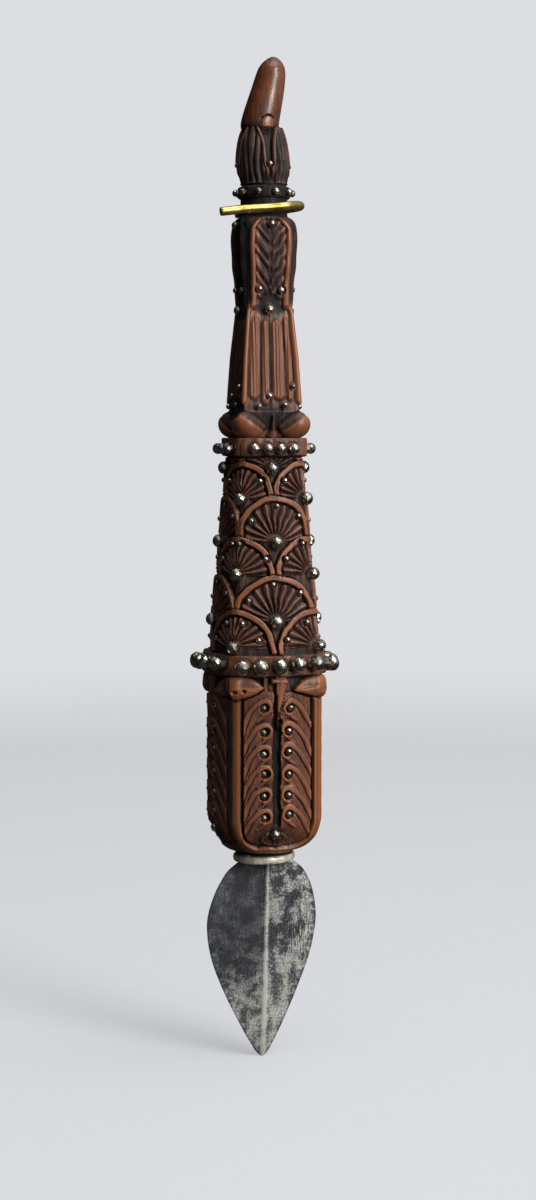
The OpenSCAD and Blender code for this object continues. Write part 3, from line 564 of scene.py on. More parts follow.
# places holds (x, y, z, direction in degrees round from the front, lean upward, diameter) in mm
def studGroup(name, places, node):
    rng = np.random.default_rng(len(places) + len(name))
    copies = []
    for x, y, z, turn, lean, diameter in places:
        piece = bpy.data.objects.new(name, patternMesh.copy())
        bpy.context.collection.objects.link(piece)
        wobble = np.radians(rng.uniform(-stud["tilt"], stud["tilt"], 2))
        piece.scale = [diameter / 2 * mm] * 3
        piece.location = (x * mm, y * mm, z * mm)
        piece.rotation_mode = "QUATERNION"
        piece.rotation_quaternion = studTurn(turn, lean, wobble, rng.uniform(0, 2 * math.pi))
        copies.append(piece)
    clearSelection()
    for piece in copies:
        piece.select_set(True)
    bpy.context.view_layer.objects.active = copies[0]
    bpy.ops.object.join()
    group = bpy.context.object
    bpy.ops.object.transform_apply(location=True, rotation=True, scale=True)
    group.name = group.data.name = name
    dress(group, "stud_steel", node)


# Grip

grip = {
    "foot": 31.4,
    "half": 6.8,
    "swell": 1.75,
    "edges": [(31.8, 3.0), (34.5, 0.85)],
    "footRound": 6.0,
    "footInward": 4.3,
    "footRise": 0.1,
    "footLine": 31.9,
    "neck": 4.45,
    "frame": 0.96,
    "groove": 0.3,
    "ground": -1.05,
    "rim": 0.95,
    # Middle of the channel between the leaves, and half its width
    "channel": (-0.37, 0.48),
    # Eyes of the leaves, outward from the middle of the side, and their heights
    "rightEyes": [(1.80, 54.15), (1.45, 50.8), (1.45, 47.7), (1.45, 44.3), (1.45, 41.2), (1.5, 38.3)],
    "leftEyes": [(2.25, 54.2), (2.25, 50.6), (2.25, 47.4), (2.2, 44.4), (2.2, 41.1), (2.2, 37.9)],
    # Height of a leaf's edge over its eye, then how far and how steeply it falls outward
    "rightFall": (1.62, 0.46, 1.65),
    "leftFall": (1.42, 0.205, 2.45),
    # How far a leaf goes from its eye towards the channel
    "leafBack": 1.2,
    "eyeStud": 1.02,
    "footStud": (-0.45, 35.6),
    "footStudSize": 1.55,
    "footStudLean": -24,
    "bowl": (2.1, 1.25),
    "stemMiddle": [(51.0, 0.15), (55.1, 0.35), (58.0, 0.78)],
    "stemHalf": [(50.8, 0.09), (53.5, 0.14), (55.1, 0.39), (57.8, 0.86)],
    "bar": 58.1,
    "carvedTop": 58.9,
    "curlTop": 58.85,
    "curlEnd": 2.6,
    "curlPits": [(0.35, 56.5), (1.5, 56.75)],
}


def gripHalf(z):
    # The foot is rounded as a quarter of an ellipse
    r = grip["footRound"]
    middle = grip["foot"] + grip["footRise"] + r
    down = np.clip(middle - z, 0, r * 0.985) / r
    return grip["half"] - grip["footInward"] * (1 - np.sqrt(1 - down * down))


def gripSwell(z):
    return grip["swell"] * gripHalf(z) / grip["half"]


# A leaf's upper edge over its eye: round on the side of the channel, then a long fall outward
def leafEdge(dx, height, fall, power):
    out = np.clip(dx, 0, None)
    near = height * np.sqrt(np.clip(1 - (dx / grip["leafBack"]) ** 2, 0, 1))
    edge = np.where(dx < 0, near, height - fall * out ** power)
    return edge, np.where(dx < 0, 0.35, fall * power * out ** (power - 1))


def leafSide(x, z, eyes, fall):
    # x grows outward from the middle of the panel
    under = np.full_like(x, 99.0)
    for eyeX, eyeZ in eyes:
        dx = x - eyeX
        edge, slope = leafEdge(dx, *fall)
        below = (eyeZ + edge - z) / np.sqrt(1 + slope * slope)
        under = np.where((below >= -0.02) & (dx > -grip["leafBack"]), np.minimum(under, below), under)
    # Flat-topped rim with soft edges, a groove under it, then the leaf's blade with fine veins
    rim = grip["rim"]
    top = -0.04 - 0.34 * smoothStep(0.12, 0.0, under) - 0.06 * smoothStep(rim * 0.7, rim, under)
    blade = -0.17 - 0.15 * np.clip(under - rim, 0, 3) + 0.04 * np.cos(under * 15 + x * 1.5)
    leaf = np.where(under < rim, top, blade) - 0.27 * ridge(under - rim, 0.26, 1.0)
    # Over the first leaves a rough leaf fills the panel up to the curls
    rough = -0.36 + 0.06 * np.cos(z * 9 + x * 11) + 0.03 * np.cos(z * 21 - x * 5)
    leaf = np.where(under > 50, np.where(z > 52.5, rough, grip["ground"]), leaf)
    for eyeX, eyeZ in eyes:
        dx, dz = x - eyeX, z - eyeZ
        far = np.hypot(dx, dz)
        # Round the eye the rim closes on the side of the channel and below
        angle = np.degrees(np.arctan2(dz, dx)) % 360
        ring = ridge(far - 0.86, 0.74, 0.35) * smoothStep(62, 95, angle) * smoothStep(318, 285, angle)
        # Its lower branch runs on into the leaf below
        branch = ridge(awayFromLine(dx, dz, (-0.2, -1.0), (1.1, -1.95)), 0.55, 0.5)
        for band, rise in ((ring, 0.7), (branch, 0.62)):
            leaf = np.where(band > 0.02, np.maximum(leaf, rise * band - 0.75), leaf)
        leaf = seat(leaf, far, 0.46, -0.85)
    return leaf


def awayFromLine(x, z, start, end):
    # Distance from a straight line between two points
    runX, runZ = end[0] - start[0], end[1] - start[1]
    x, z = x - start[0], z - start[1]
    along = np.clip((x * runX + z * runZ) / (runX ** 2 + runZ ** 2), 0, 1)
    return np.hypot(x - along * runX, z - along * runZ)


def fromFootStud(s, z):
    # Across and up from the large stud, and the share of the radius of the bowl under it
    dx, dz = s - grip["footStud"][0], z - grip["footStud"][1]
    wide, tall = grip["bowl"]
    return dx, dz, np.hypot(dx / wide, (dz + tall) / tall)


def gripPanel(s, z):
    middle, halfChannel = grip["channel"]
    x = s - middle
    right = [(eyeX - middle, eyeZ) for eyeX, eyeZ in grip["rightEyes"]]
    left = [(eyeX + middle, eyeZ) for eyeX, eyeZ in grip["leftEyes"]]
    leaves = np.where(
        x > 0,
        leafSide(np.abs(x), z, right, grip["rightFall"]),
        leafSide(np.abs(x), z, left, grip["leftFall"]))
    leaves = mix(grip["ground"], leaves, smoothStep(halfChannel - 0.1, halfChannel + 0.1, np.abs(x)))
    # Bowl-shaped leaf at the foot of the panel, on flat ground, under the large stud
    dx, dz, bowl = fromFootStud(s, z)
    apron = smoothStep(2.75, 2.4, np.hypot(dx, dz + 0.5)) * smoothStep(0.4, -0.3, dz)
    leaves = mix(leaves, -0.6, apron)
    veins = 0.05 * np.cos(dx * 9) + 0.03 * np.cos(dz * 14 + dx * 4)
    footLeaf = -0.42 + 0.12 * ridge(bowl - 0.88, 0.24, 0.7) + veins
    leaves = mix(leaves, footLeaf, smoothStep(1.06, 0.98, bowl))
    leaves = seat(leaves, np.hypot(dx, dz), 0.74, -0.75)
    # Stem between the leaves at the head, spreading like a wedge into a short bar under the collar
    fromStem = x - valueAt(z, grip["stemMiddle"])
    stem = smoothStep(0.08, -0.08, np.abs(fromStem) - valueAt(z, grip["stemHalf"]))
    stem = stem * smoothStep(50.6, 51.4, z) * (0.86 + 0.14 * ridge(fromStem, 0.9, 1.0))
    fromBar = np.abs(x - 0.5)
    hollow = smoothStep(56.3, 56.8, z) * smoothStep(2.0, 1.75, fromBar - np.where(x > 0.5, 0.7, 0))
    bar = smoothStep(1.43, 1.25, fromBar) * ridge(z - grip["bar"], 0.8, 0.3)
    leaves = mix(leaves, -1.0, hollow)
    leaves = np.maximum(leaves, 0.98 * np.maximum(stem, bar) - 1.0)
    return np.maximum(leaves, grip["ground"])


# Leaf curls on the corners: wedges whose points lie along each side, under the collar
def gripCurls(relief, s, fromEdge, z):
    long = grip["half"] - grip["curlEnd"]
    along = np.clip(fromEdge / long, 0, 1)
    thick = np.where(s > 0, 1.55, 1.8)
    middle = grip["curlTop"] - thick - np.where(s > 0, 0.65, -0.05) * along
    upward = thick * (1 - along ** 3) + 0.06
    downward = thick * (1 - along ** 1.5) + 0.06
    rise = np.where(z > middle, (z - middle) / upward, (z - middle) / downward)
    facet = 0.34 * smoothStep(-0.05, 0.1, rise) * smoothStep(0.1, 0.35, along)
    body = np.sqrt(np.clip(1 - np.abs(rise) ** 3, 0, 1))
    curl = mix(-0.25, 0.98 - 0.74 * along ** 1.2 - facet, body)
    for inward, height in grip["curlPits"]:
        curl = curl - 0.7 * ridge(np.hypot(fromEdge - inward, z - height), 0.62, 0.8) * (s < 0)
    relief = np.where((np.abs(rise) < 1) & (fromEdge < long), np.maximum(relief, curl), relief)
    # Shadow line cut under the curls, and the dark gap over them
    relief = relief - 0.35 * ridge(z - middle + downward + 0.1, 0.4, 0.8) * (fromEdge < long + 0.1)
    gap = smoothStep(0.0, 0.25, z - middle - upward) * (fromEdge < long)
    return np.where(gap > 0, np.minimum(relief, -0.2 - 0.8 * gap), relief)


def gripRelief(side, s, fromEdge, z):
    footLine = z - grip["footLine"]
    # The frame follows the block's edges and crosses under the foot of the panel
    inFrame = softMin(fromEdge, footLine, 1.5)
    frameTop = 0.05 * ridge(inFrame - 0.6, 1.3, 0.6) - 0.03
    outer, inner = grip["frame"], grip["frame"] + grip["groove"]
    panel = mix(grip["ground"], gripPanel(s, z), smoothStep(inner - 0.08, inner + 0.1, inFrame))
    relief = mix(frameTop, panel, smoothStep(outer - 0.08, outer + 0.05, inFrame))
    # Below the panel the block turns into its plain neck
    relief = relief * smoothStep(-0.15, 0.25, footLine) - 0.12 * smoothStep(0.1, -0.1, footLine)
    return gripCurls(relief, s, fromEdge, z)


def gripExtra(side, s, fromEdge, z):
    footLine = z - grip["footLine"]
    inFrame = softMin(fromEdge, footLine, 1.5)
    # The frames are rubbed bright; painted light makes the left half of each frame lighter than the right,
    # and painted shade darkens the frames on the left side
    wearAndPaintedLight = np.where(side == 3, -0.4, np.where(s < 0, 0.5, 0.2))
    light = wearAndPaintedLight * smoothStep(1.0, 0.75, inFrame) * smoothStep(-0.1, 0.4, footLine)
    light += 0.12 * smoothStep(1.3, 1.6, inFrame)
    # Painted light on the rounded foot of the panel, which faces down
    light += 0.25 * smoothStep(34.4, 33.2, z) * smoothStep(0.0, 0.4, footLine)
    # Painted shade on the plain neck below the foot line, in the gap over the ferrule
    light -= 0.75 * smoothStep(0.25, 0.0, footLine)
    # Dirt fills the channel and the bowl; the stem is clean
    light -= 0.3 * smoothStep(0.75, 0.4, np.abs(s - grip["channel"][0])) * smoothStep(52.0, 50.5, z)
    light -= 0.16 * smoothStep(1.25, 1.0, fromFootStud(s, z)[2])
    light += 0.2 * smoothStep(54.5, 55.5, z) * smoothStep(1.8, 1.5, np.abs(s - 0.2))
    # The curls are light, and their upper facets are dull and dark
    light += 0.14 * smoothStep(55.2, 55.8, z) * smoothStep(4.2, 3.2, fromEdge)
    onFacet = smoothStep(57.25, 57.5, z) * smoothStep(0.5, 2.6, fromEdge) * smoothStep(4.2, 3.8, fromEdge)
    return light - 0.22 * onFacet


def makeGrip():
    heights = np.concatenate([
        np.arange(grip["foot"], 36, 0.1), np.arange(36, 54.3, 0.145),
        np.linspace(54.3, grip["carvedTop"], 46)])
    piece = squareBlock(
        "gripCarving", 448, (14, 13), heights, gripHalf, lambda z: valueAt(z, grip["edges"]),
        gripSwell, gripRelief, gripExtra, neck=grip["neck"])
    dress(piece, "carved_wood", "grip")
    eyes, feet = [], []
    for side in range(4):
        places = grip["rightEyes"] + [(-eyeX, eyeZ) for eyeX, eyeZ in grip["leftEyes"]]
        for eyeX, eyeZ in places:
            x, y, z, turn = onSwell(side, eyeX, grip["half"], grip["swell"], 0.82, eyeZ)
            eyes.append((x, y, z, turn, 0, grip["eyeStud"]))
        across, height = grip["footStud"]
        half, swell = float(gripHalf(height)), float(gripSwell(height))
        # The stud on the left side is driven deeper
        depth = 1.35 if side == 3 else 0.95
        x, y, z, turn = onSwell(side, across, half, swell, depth, height)
        feet.append((x, y, z, turn, grip["footStudLean"], grip["footStudSize"]))
    studGroup("gripEyeStuds", eyes, "grip_eye_studs")
    studGroup("gripFootStuds", feet, "grip_foot_studs")


# Scale section: rows of arches, each laid over the row above it

scale = {
    "foot": 61.9,
    "top": 91.1,
    "halfLow": 6.95,
    "halfHigh": 4.8,
    "swell": 1.3,
    "edge": 0.8,
    "band": 0.84,
    "ribs": 11,
    # Heights of the studs from which the fans spread, and of the arches over them
    "cornerRows": [63.1, 73.8, 84.9],
    "faceRows": [66.8, 78.5, 89.4],
    "cornerRise": 5.6,
    "faceRise": 6.9,
    # Where the two corner fans of a side meet, and the middles of its own fans
    "seam": -0.25,
    "faceShift": [-0.25, -0.05, -0.45],
    # Small studs: across and up, or inward from the corners, up and shifted to the right
    "faceSmall": [(-4.2, 70.0), (-0.6, 72.3), (3.6, 71.0), (-3.5, 81.7), (0.25, 83.85), (3.6, 82.3)],
    "cornerSmall": [
        (1.7, 66.65, -0.3), (4.6, 64.15, -0.75), (1.0, 78.3, -0.6), (4.35, 76.05, -0.05), (3.2, 87.55, -0.3)],
    "ground": -0.55,
    "seatDepth": -0.6,
    "studDepth": 0.55,
    "cornerStudDepth": 0.95,
    "bigStud": 2.0,
    "smallStud": 0.85,
}


def scaleHalf(z):
    return np.interp(z, [scale["foot"], scale["top"]], [scale["halfLow"], scale["halfHigh"]])


def scaleSwell(z):
    return scale["swell"] * scaleHalf(z) / scale["halfLow"]


# Inside an arch: a raised band, then sharp ribs that spread from the stud under its middle
def fanRelief(dx, dz, inside, studDrop):
    width = scale["band"]
    band = -0.02 - 0.14 * smoothStep(0.09, 0.0, inside) - 0.05 * smoothStep(width * 0.7, width, inside)
    reach = np.hypot(dx, dz + studDrop)
    angle = np.degrees(np.arctan2(dx, dz + studDrop))
    phase = (angle * scale["ribs"] / 176 + 0.5) % 1
    crest = 1 - np.abs(2 * phase - 1) ** 1.3
    ribs = -0.74 + (0.08 + 0.5 * smoothStep(0.7, 2.2, reach)) * crest
    ends = smoothStep(width + 0.06, width + 0.35, inside - 0.3 * (1 - crest))
    fan = mix(-0.78, np.where(np.abs(angle) < 92, ribs, -0.7), ends)
    return mix(band, fan, smoothStep(width - 0.05, width + 0.04, inside))


def scaleRelief(side, s, fromEdge, z):
    arches = []
    for row in scale["cornerRows"]:
        radius = float(scaleHalf(row + scale["cornerRise"])) + 0.32
        arches.append((row, row + scale["cornerRise"] - radius, radius, None))
    for row, shift in zip(scale["faceRows"], scale["faceShift"]):
        radius = float(scaleHalf(row + 2.2)) + 0.1
        arches.append((row, row + scale["faceRise"] - radius, radius, shift))
    # From the top row down, so that each lower scale covers the foot of the one above
    relief = np.full_like(s, scale["ground"])
    fromSeam = s - scale["seam"]
    for row, middle, radius, shift in sorted(arches, key=lambda arch: -arch[0]):
        if shift is None:
            across = np.where(fromSeam > 0, -1, 1) * (scaleHalf(z) - np.abs(fromSeam))
        else:
            across = s - shift
        beyond = np.hypot(across, np.maximum(z - middle, 0)) - radius
        # The outer edge of a scale casts a thin shadow on the one behind it
        relief = relief - 0.3 * smoothStep(0.22, 0.0, beyond) * (beyond > 0)
        relief = np.where(beyond < 0, fanRelief(across, z - middle, -beyond, middle - row), relief)
    big = [(s - shift, row) for row, shift in zip(scale["faceRows"], scale["faceShift"])]
    big += [(fromEdge, row) for row in scale["cornerRows"]]
    small = [(s - across, height) for across, height in scale["faceSmall"]]
    small += [(fromEdge - inward + shift * np.sign(s), height)
              for inward, height, shift in scale["cornerSmall"]]
    for places, radius in ((big, 0.95), (small, 0.36)):
        for away, height in places:
            relief = seat(relief, np.hypot(away, z - height), radius, scale["seatDepth"])
    # Dark gaps against both collars
    return mix(-0.7, relief, smoothStep(61.95, 62.2, z) * smoothStep(91.1, 90.8, z))


def scaleExtra(side, s, fromEdge, z):
    return 0.06 * smoothStep(2.0, 0.5, fromEdge) - 0.15 * smoothStep(63.2, 62.4, z)


def makeScaleSection():
    piece = squareBlock(
        "scaleCarving", 408, (15, 14), [scale["foot"], scale["top"]], scaleHalf,
        lambda z: np.full_like(z, scale["edge"]), scaleSwell, scaleRelief, scaleExtra)
    dress(piece, "carved_wood", "scale_section")
    lean = math.degrees(math.atan((scale["halfLow"] - scale["halfHigh"]) / (scale["top"] - scale["foot"])))
    faces, corners, small = [], [], []

    def stand(side, across, z, size):
        place = onSwell(side, across, float(scaleHalf(z)), float(scaleSwell(z)), scale["studDepth"], z)
        return (*place, lean, size)

    for side in range(4):
        for row, shift in zip(scale["faceRows"], scale["faceShift"]):
            faces.append(stand(side, shift, row, scale["bigStud"]))
        # Only the two front corners have large studs
        if side in (0, 3):
            for row in scale["cornerRows"]:
                out = float(scaleHalf(row)) * math.sqrt(2) - scale["cornerStudDepth"]
                corners.append((*onSide(side + 0.5, 0, out, row), side * 90 + 45, lean, scale["bigStud"]))
        places = list(scale["faceSmall"])
        for inward, z, shift in scale["cornerSmall"]:
            places += [(sign * (float(scaleHalf(z)) - inward) + shift, z) for sign in (-1, 1)]
        small += [stand(side, across, height, scale["smallStud"]) for across, height in places]
    studGroup("scaleFaceStuds", faces, "scale_face_studs")
    studGroup("scaleCornerStuds", corners, "scale_corner_studs")
    studGroup("scaleSmallStuds", small, "scale_small_studs")


# Collars

collars = {
    "lowerCollar": {
        "node": "lower_collar", "studs": "lower_collar_studs", "foot": 58.6, "top": 61.9, "half": 7.4,
        "swell": 1.65, "edge": 1.5, "across": [-5.5, -3.05, -0.25, 2.45, 5.3], "studHeight": 60.55,
        "studRise": 0.045, "diameter": 2.4, "seam": 0.35, "cuts": (6, 6),
    },
    "upperCollar": {
        "node": "upper_collar", "studs": "upper_collar_studs", "foot": 90.95, "top": 93.85, "half": 5.25,
        "swell": 0.8, "edge": 1.0, "across": [-3.1, -1.2, 0.7, 2.75], "studHeight": 92.3,
        "studRise": 0.0, "diameter": 1.7, "seam": 0.3, "cuts": (5, 5),
    },
}


def makeCollar(name, values):
    foot, tall = values["foot"], values["top"] - values["foot"]

    def studLine(s):
        return values["studHeight"] + values["studRise"] * s

    def relief(side, s, fromEdge, z):
        # Rounded edges, left a little uneven by the knife
        out = 0.35 * (ridge(z - foot - tall / 2, tall * 1.05, 0.3) - 1)
        out = out + 0.06 * np.sin(s * 1.7 + side * 2) * np.cos(z * 1.4) + 0.04 * np.sin(s * 4.1 + side)
        for across in values["across"]:
            out = seat(out, np.hypot(s - across, z - studLine(across)), values["diameter"] / 2 - 0.05, -0.25)
        # Dark seam under the collar
        return mix(-0.9, out, smoothStep(values["seam"] * 0.3, values["seam"], z - foot))

    def extra(side, s, fromEdge, z):
        # Lighter on the rubbed edges, with painted shade in the seam at the foot
        return 0.02 + 0.15 * smoothStep(1.6, 0.6, fromEdge) - 0.5 * smoothStep(0.6, 0.2, z - foot)

    piece = squareBlock(
        name, 400, values["cuts"], [foot, values["top"]], lambda z: np.full_like(z, values["half"]),
        lambda z: np.full_like(z, values["edge"]), lambda z: np.full_like(z, values["swell"]),
        relief, extra, reach=3)
    dress(piece, "carved_wood", values["node"])
    places = []
    for side in range(4):
        for across in values["across"]:
            place = onSwell(side, across, values["half"], values["swell"], 0.1, studLine(across))
            places.append((*place, 0, values["diameter"]))
    studGroup(name + "Studs", places, values["studs"])


# Fluted shaft

shaft = {
    # Half widths, corner radii and swell of the sides, each at its height
    "profile": [(93.4, 3.6), (94.0, 4.0), (97.5, 4.75), (98.0, 4.85), (105.5, 4.38), (113.0, 3.65),
                (114.5, 3.68), (118.0, 3.9), (121.0, 4.12), (124.5, 4.15), (125.7, 4.1), (126.15, 3.95),
                (126.4, 3.7), (126.5, 3.5), (129.15, 3.5)],
    "edges": [(93.4, 1.0), (97.0, 0.9), (112.0, 0.7), (116.0, 1.2), (118.5, 1.5), (125.4, 1.6), (126.4, 3.4),
              (126.5, 3.5)],
    "bulge": [(115.0, 0.0), (119.0, 0.4), (124.0, 0.45), (126.0, 0.0)],
    # Middle and half width of each reed, as shares of the half side; the outer two are the corners
    "reeds": [(-1.0, 0.22), (-0.575, 0.22), (-0.2, 0.16), (0.24, 0.26), (0.6, 0.14), (1.0, 0.27)],
    "reedGround": -0.9,
    "reedFoot": 98.2,
    "strokePitch": 1.9,
    "panelGround": -0.6,
    # Curls and studs: across, up and size
    "curls": [(-1.75, 115.5, 0.95), (1.6, 115.3, 0.95)],
    "leafStuds": [(-0.25, 112.7, 1.5), (-1.75, 115.75, 1.0), (1.6, 115.55, 1.0), (-0.05, 125.2, 1.2)],
    "fluteStuds": [(-2.1, 98.5), (-0.45, 100.05), (1.9, 98.7), (3.15, 101.4)],
    "fluteStudSize": 0.85,
    "bulbMiddle": 95.75,
    "bulbHalf": 1.85,
    "bulbLength": 3.1,
    "bud": [(93.6, 0.5), (94.2, 0.95), (95.1, 0.45), (97.4, 0.14)],
}


def shaftHalf(z):
    return valueAt(z, shaft["profile"])


def shaftBulge(z):
    return valueAt(z, shaft["bulge"])


def panelEdge(z):
    # Distance of the leaf panel from the edges of its side: it closes in an arch at the head
    return 1.1 * smoothStep(124.2, 126.2, z)


def shaftReeds(s, z):
    # Round in section and of unlike widths, with flat dark ground between them
    ground = shaft["reedGround"]
    relief = np.full_like(s, ground)
    for number, (middle, wide) in enumerate(shaft["reeds"]):
        t = (s / shaftHalf(z) - middle) / wide
        top, foot, head = 0.0, shaft["reedFoot"], 1
        if abs(middle) < 1:
            # Fine lines run up the inner reeds, which have rounded ends
            top = 0.07 * np.sin(s * 13.5 + number) - 0.12
            foot = foot + 0.5 + 0.5 * math.sin(number * 2.3)
            head = smoothStep(112.2 + 0.6 * math.sin(number * 1.9), 111.0, z + 0.8 * t * t)
        tip = smoothStep(foot - 0.1, foot + 0.9, z - 0.7 * t * t)
        body = np.sqrt(np.clip(1 - np.abs(t) ** 2.2, 0, 1)) * tip * head
        relief = np.maximum(relief, mix(ground, top, body))
    return relief


def shaftPanel(s, z):
    # Loose strokes that rise from a middle groove, between plain ridges near the corners
    ground = shaft["panelGround"]
    a = np.abs(s + 0.1)
    stroke = z - 1.05 * a - 0.1 * a * a + 0.2 * np.sin(z * 1.9 + s * 2) + np.where(s > -0.1, 0.35, 0.0)
    stroke = stroke / shaft["strokePitch"]
    strokes = -0.62 + 0.36 * np.clip(1 - np.abs(2 * (stroke % 1) - 1) ** 1.7, 0, 1)
    strokes = strokes + 0.06 * np.sin(stroke * 40 + a * 3) - 0.3 * ridge(s + 0.1, 0.5, 0.8)
    beyond = a - (shaftHalf(z) - 1.7 - panelEdge(z))
    corner = -0.22 + 0.24 * ridge(beyond - 0.5, 1.15, 0.7) + 0.05 * np.sin(z * 1.5 + a * 2)
    within = smoothStep(0.12, -0.18, beyond)
    leaf = mix(corner, strokes, within) - 0.16 * ridge(beyond, 0.3, 1)
    # Curls round the studs at the foot, with a small lozenge between them
    for x, height, size in shaft["curls"]:
        far = np.hypot(s - x, z - height)
        curl = ground + 0.34 * ridge(far - size * 0.6, size * 0.7, 0.7)
        leaf = np.where(far < size, np.maximum(leaf, curl), leaf)
    lozenge = ridge(np.abs(s + 0.05) * 1.6 + np.abs(z - 115.9) * 0.75, 1.1, 1.0)
    leaf = np.maximum(leaf, ground + 0.45 * lozenge)
    return mix(leaf, ground, smoothStep(115.0, 114.2, z - 0.3 * np.cos(s * 2)) * within)


def bulbPlace(fromEdge, z):
    # Share along a bulb from the corner, height over its middle, and whether the folded leaf covers it
    along = np.clip(fromEdge / shaft["bulbLength"], 0, 1)
    up = z - shaft["bulbMiddle"] + 0.2 * along
    return along, up, smoothStep(-0.08, 0.08, up / shaft["bulbHalf"] - 0.9 + 1.5 * along)


def shaftRelief(side, s, fromEdge, z):
    relief = mix(shaftReeds(s, z), shaftPanel(s, z), smoothStep(112.2, 113.4, z))
    # Plain turned neck above the shoulder, and a dark recess at the foot
    relief = mix(relief, -0.02, smoothStep(126.0, 126.35, z))
    relief = mix(relief, -0.35, smoothStep(98.4, 97.6, z))
    # Four folded leaves like bulbs on the corners and a bud between them
    along, up, folded = bulbPlace(fromEdge, z)
    tall = shaft["bulbHalf"] * (1 - along ** 2.6) + 0.1
    bulb = mix(-0.3, 1.75 - 1.35 * along ** 1.5 - 0.28 * folded, ridge(up, 2 * tall, 0.5))
    inBulb = (np.abs(up) < tall) & (fromEdge < shaft["bulbLength"])
    relief = np.where(inBulb, np.maximum(relief, bulb), relief)
    bud = ridge(s - 0.15, 2 * valueAt(z, shaft["bud"]), 0.6) * smoothStep(97.6, 97.0, z)
    relief = np.maximum(relief, -0.55 + 0.9 * bud * smoothStep(93.4, 93.7, z))
    for x, height, size in shaft["leafStuds"]:
        relief = seat(relief, np.hypot(s - x, z - height), size / 2, -0.5)
    for x, height in shaft["fluteStuds"]:
        relief = seat(relief, np.hypot(s - x, z - height), 0.42, -0.4)
    return relief


def shaftExtra(side, s, fromEdge, z):
    # Rubbed ridges beside the panel and on the corners of the reeds
    place = np.where(z > 113.5, 1.3 + panelEdge(z), 0.4)
    light = 0.44 * smoothStep(0.85, 0.35, np.abs(fromEdge - place))
    light = light * smoothStep(97.5, 99, z) * smoothStep(126, 125.4, z)
    onPanel = smoothStep(113.2, 114.5, z) * smoothStep(126, 125.4, z)
    light -= onPanel * (0.12 + 0.16 * smoothStep(0.95, 0.55, fromEdge))
    # Dirt lies between the reeds and over their heads
    light += 0.24 * smoothStep(98.5, 100, z) * smoothStep(113.0, 111.5, z)
    nearest = np.min([np.abs(s / shaftHalf(z) - middle) / wide for middle, wide in shaft["reeds"]], axis=0)
    light -= 0.6 * smoothStep(0.84, 1.0, nearest) * smoothStep(97.5, 98.5, z) * smoothStep(113.6, 112.4, z)
    overReeds = smoothStep(111.8, 112.8, z) * smoothStep(115.4, 114.2, z)
    light -= 0.2 * overReeds * smoothStep(1.0, 1.6, fromEdge)
    # Light bulbs under dark folded leaves, with a dark hollow between them
    folded = bulbPlace(fromEdge, z)[2]
    onBulbs = smoothStep(3.0, 2.3, fromEdge) * smoothStep(93.6, 94.2, z) * smoothStep(97.9, 97.4, z)
    light += (0.2 - 0.42 * folded) * onBulbs
    light -= 0.34 * smoothStep(2.4, 3.2, fromEdge) * smoothStep(98.8, 97.8, z) * (z > 94.9)
    # Painted shade on the narrow turned neck above the shoulder, under the wire clip and the cup
    light -= 0.5 * smoothStep(126.1, 126.5, z)
    # Painted shade darkens the left side
    return light - 0.36 * (side == 3) * smoothStep(97.6, 98.4, z)


def makeShaft():
    heights = np.concatenate([
        np.linspace(93.4, 98.6, 60), np.linspace(98.72, 112.2, 84), np.linspace(112.3, 126.5, 128),
        np.linspace(126.8, 129.15, 10)])
    piece = squareBlock(
        "shaftCarving", 320, (16, 15), heights, shaftHalf, lambda z: valueAt(z, shaft["edges"]),
        shaftBulge, shaftRelief, shaftExtra, hand=0.2)
    dress(piece, "carved_wood", "fluted_shaft")
    leaf, flutes = [], []
    for side in range(4):
        for across, height, size in shaft["leafStuds"]:
            half, swell = float(shaftHalf(height)), float(shaftBulge(height))
            x, y, z = onSwell(side, across, half, swell, 0.35, height)[:3]
            leaf.append((x, y, z, side * 90, 0, size))
        for across, height in shaft["fluteStuds"]:
            x, y, z = onSide(side, across, float(shaftHalf(height)) - 0.25, height)
            flutes.append((x, y, z, side * 90, 4, shaft["fluteStudSize"]))
    studGroup("leafNeckStuds", leaf, "leaf_neck_studs")
    studGroup("shaftStuds", flutes, "shaft_studs")


# Calyx cup: four leaves round a turned cup, with a ring of beads under them

calyx = {
    "foot": 129.15,
    "top": 139.3,
    "profile": [(129.15, 3.7), (129.35, 3.9), (129.6, 3.98), (130.6, 3.95), (130.95, 3.6), (131.6, 3.62),
                (133.0, 3.9), (134.6, 4.02), (136.0, 3.9), (137.4, 3.68), (138.5, 3.4), (139.3, 3.1)],
    "aside": [(129.15, 0.0), (131.5, 0.0), (135.0, -0.2), (139.3, -0.3)],
    # Half the width of the slots between the leaves
    "slot": [(133.4, 0.12), (134.2, 0.42), (136.6, 0.5), (137.6, 0.62), (138.5, 0.95), (139.3, 1.25)],
    "rim": 0.72,
    "ribWidth": 1.1,
    "bead": 1.1,
    "beads": 10,
    "beadHeight": 129.98,
    "beadTurn": 0.25,
    "stud": 0.85,
    "studHeight": 134.0,
}


